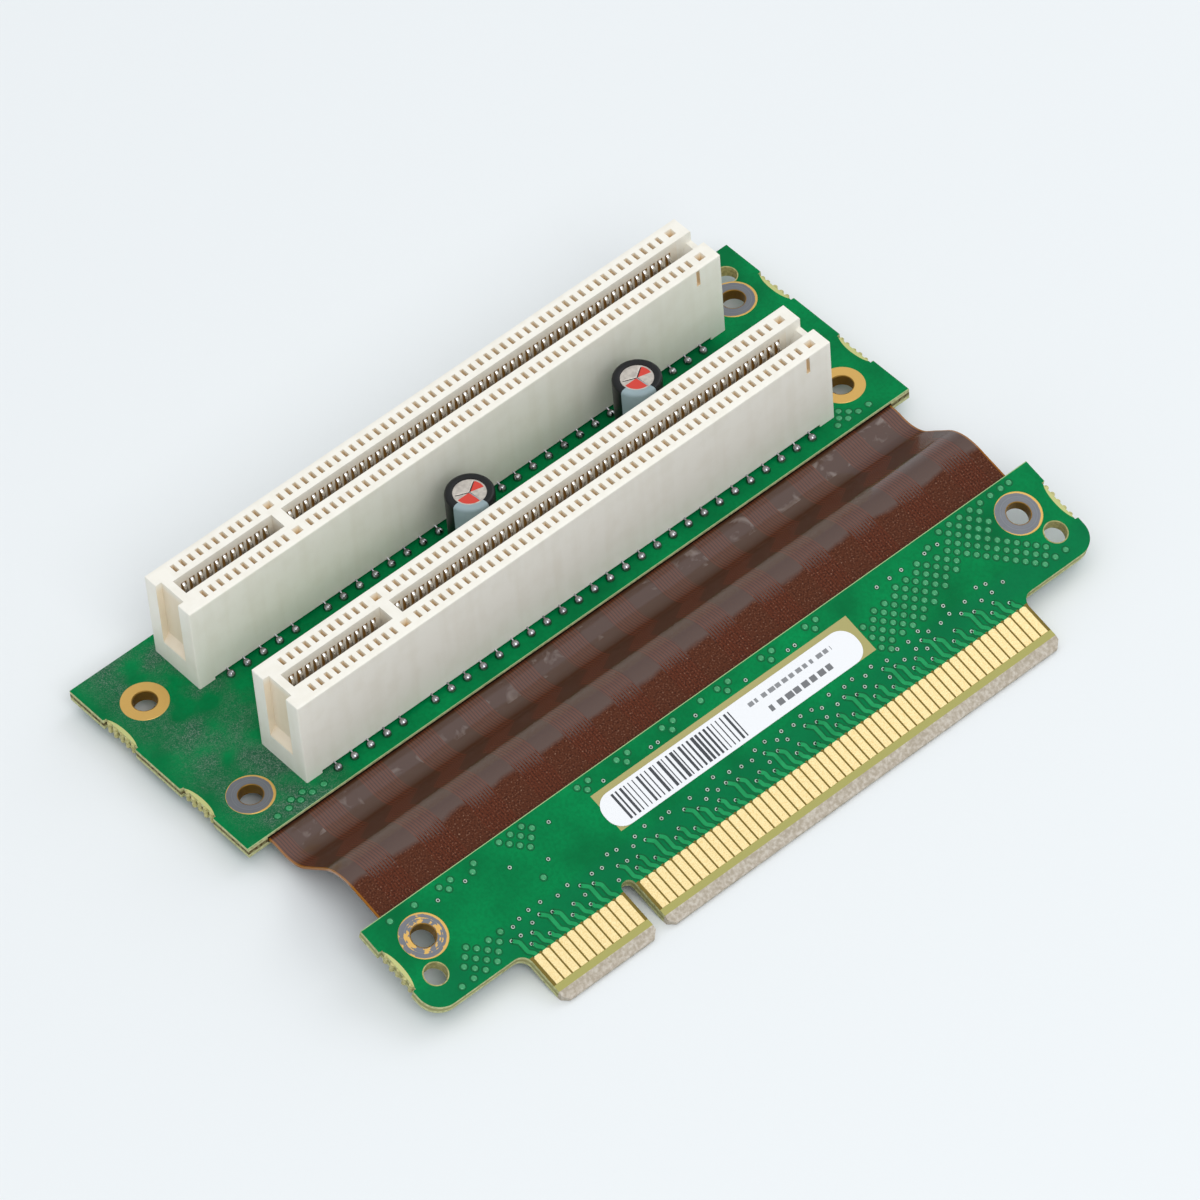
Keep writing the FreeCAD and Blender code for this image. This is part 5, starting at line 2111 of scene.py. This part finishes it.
@dataclass
class Capacitor:
    """A small radial capacitor: the sleeve curled over the can's rim, the scored top, and the soldered leads.

    Attributes:
        lip: radius of the sleeve's round opening on top.
        drop: how far the can's top lies below the sleeve's rim.
        groove: inset and height of points in the sleeve's foot and the groove above it.
        curl: inset and drop below the rim of points in the sleeve's shoulder.
        lip_curl: distance outside the lip and drop below the rim of the points next to it.
        lead_steps: radius and share of a lead's length of the solder round it.
        score_arms: angles of the score's three arms.
        score_reach: share of the top's radius that they take.
    """

    name: str
    radius: float = 3.15
    height: float = 10.5
    lip: float = 2.1
    drop: float = 0.2
    sleeve_gap: float = 0.05
    segments: int = 64
    groove: tuple[Spot, ...] = (
        (0.25, 0.0), (0.06, 0.05), (0.0, 0.2), (0.0, 1.0), (0.1, 1.3), (0.14, 1.5), (0.1, 1.7), (0.0, 2.0),
    )
    curl: tuple[Spot, ...] = ((0.0, 0.45), (0.05, 0.22), (0.2, 0.06), (0.4, 0.0))
    lip_curl: tuple[Spot, ...] = ((0.25, 0.02), (0.06, 0.07))
    lead_spacing: float = 2.5
    lead_steps: tuple[Spot, ...] = ((0.22, 0.99), (0.26, 0.6), (0.45, 0.35))
    lead_segments: int = 14
    score_depth: float = 0.09
    score_half: float = 0.11
    score_arms: tuple[float, ...] = (0.6, 2.7, 4.8)
    score_reach: float = 0.9
    top_rings: int = 14
    top_segments: int = 96
    top_wall: float = 0.3

    def __post_init__(self) -> None:
        """Take the capacitor's place from its CAD node."""
        low, high = box_mm(f"{self.name}_capacitor_sleeve")
        self.place = np.array((*(low[:2] + high[:2]) / 2, low[2]))

    def build(self) -> None:
        """Make the sleeve, the top and the leads."""
        self.build_sleeve()
        self.build_top()
        cone, (x, y, _) = solder_cone(self.lead_steps, self.lead_segments), self.place
        leads = joined(in_place(cone, (x, place, TAIL_LENGTH)) for place in span(y, self.lead_spacing))
        piece = new_object(f"{self.name}_capacitor_soldered_leads", leads, SOLDER, 45.0)
        settle(piece, "solder", f"{self.name}_capacitor_leads")

    def build_sleeve(self) -> None:
        """The sleeve, with the groove near its foot and the lip that curls over the rim."""
        high, floor = self.height, self.height - self.drop - self.sleeve_gap
        wall = [(self.radius - inset, height) for inset, height in self.groove]
        wall += [(self.radius - inset, high - down) for inset, down in self.curl]
        wall += [(self.lip + out, high - down) for out, down in self.lip_curl]
        solid = in_place(lathe([(0, 0), *wall, (self.lip, floor), (0, floor)], self.segments), self.place)
        finish = CapacitorSleeve(f"{self.name}_shrunk_vinyl_sleeve", *self.place[:2])
        sleeve = new_object(f"{self.name}_capacitor_jacket", solid, finish, 40.0)
        settle(sleeve, "sleeve", f"{self.name}_capacitor_sleeve")

    def build_top(self) -> None:
        """The can's top with a score in the form of a Y, where it opens if pressed from inside."""
        roof, around = self.height - self.drop, self.top_segments
        angles = [2 * math.pi * step / around for step in range(around)]
        points = [(0.0, 0.0, roof - self.score_depth)]
        for ring in range(1, self.top_rings + 1):
            reach = self.lip * ring / self.top_rings
            for angle in angles:
                turns = [angle - arm for arm in self.score_arms]
                off = min(reach * abs(math.sin(turn)) for turn in turns if math.cos(turn) > 0)
                scored = reach < self.lip * self.score_reach
                depth = self.score_depth * max(0.0, 1 - (off / self.score_half) ** 2) if scored else 0.0
                points.append((reach * math.cos(angle), reach * math.sin(angle), roof - depth))
        wall = len(points)
        points += [(x, y, roof - self.top_wall) for x, y, _ in points[-around:]]
        faces = [(0, 1 + step, 1 + (step + 1) % around) for step in range(around)]
        for low in range(1, wall, around):
            faces += band(low + around, low, around)
        faces.append(tuple(range(wall, wall + around))[::-1])
        finish = CanTop(f"{self.name}_drawn_aluminium_can_top", *self.place[:2], self.lip)
        solid = in_place((np.array(points), faces), self.place)
        top = new_object(f"{self.name}_capacitor_can_top", solid, finish, 35.0)
        settle(top, "can", f"{self.name}_capacitor_can")


@dataclass
class Label:
    """The paper label with rounded corners."""

    axes: BoardFrame
    width: float = 4.9
    middle: float = -6.05
    radius: float = 2.2
    thickness: float = 0.1
    corner_steps: int = 9

    def build(self) -> None:
        """Make the label as a thin plate between the ends of its CAD node."""
        left, right = (corner[0] for corner in box_mm("label"))
        half_x, half_y = (right - left) / 2 - self.radius, self.width / 2 - self.radius
        outline = []
        for quarter, (sign_x, sign_y) in enumerate(((1, 1), (-1, 1), (-1, -1), (1, -1))):
            centre_x, centre_y = (left + right) / 2 + sign_x * half_x, self.middle + sign_y * half_y
            angles = np.linspace(quarter, quarter + 1, self.corner_steps) * math.pi / 2
            arc = self.radius * np.stack([np.cos(angles), np.sin(angles)], axis=1)
            outline += [(centre_x + x, centre_y + y) for x, y in arc]
        levels = (BOARD_HALF, BOARD_HALF + self.thickness)
        points, faces = lofted([[(x, y, z) for x, y in outline] for z in levels])
        finish = PrintedPaper("coated_label_paper", self.axes, left, self.middle)
        settle(new_object("paper_label", (self.axes.place(points), faces), finish), "label", "label")


def main() -> None:
    """Build every sub-assembly in order."""
    logging.basicConfig(level=logging.INFO, format="%(message)s")
    low, high = box_mm("slot_board")
    slot_axes = BoardFrame(low[1], (low[2] + high[2]) / 2, 0.0)
    _, back = box_mm("edge_board")
    edge_y, edge_z = back[1] - BOARD_HALF * math.sin(EDGE_TILT), back[2] - BOARD_HALF * math.cos(EDGE_TILT)
    edge_axes = BoardFrame(edge_y, edge_z, EDGE_TILT)
    Studio().build()
    SlotBoard("slot_board", slot_axes).build()
    EdgeBoard("edge_board", edge_axes).build()
    CardEdge(edge_axes).build()
    FlexCircuit(slot_axes).build()
    for name in ("front_slot", "rear_slot"):
        Slot(name).build()
    for name in ("left", "right"):
        Capacitor(name).build()
    Label(edge_axes).build()


if __name__ == "__main__":
    main()
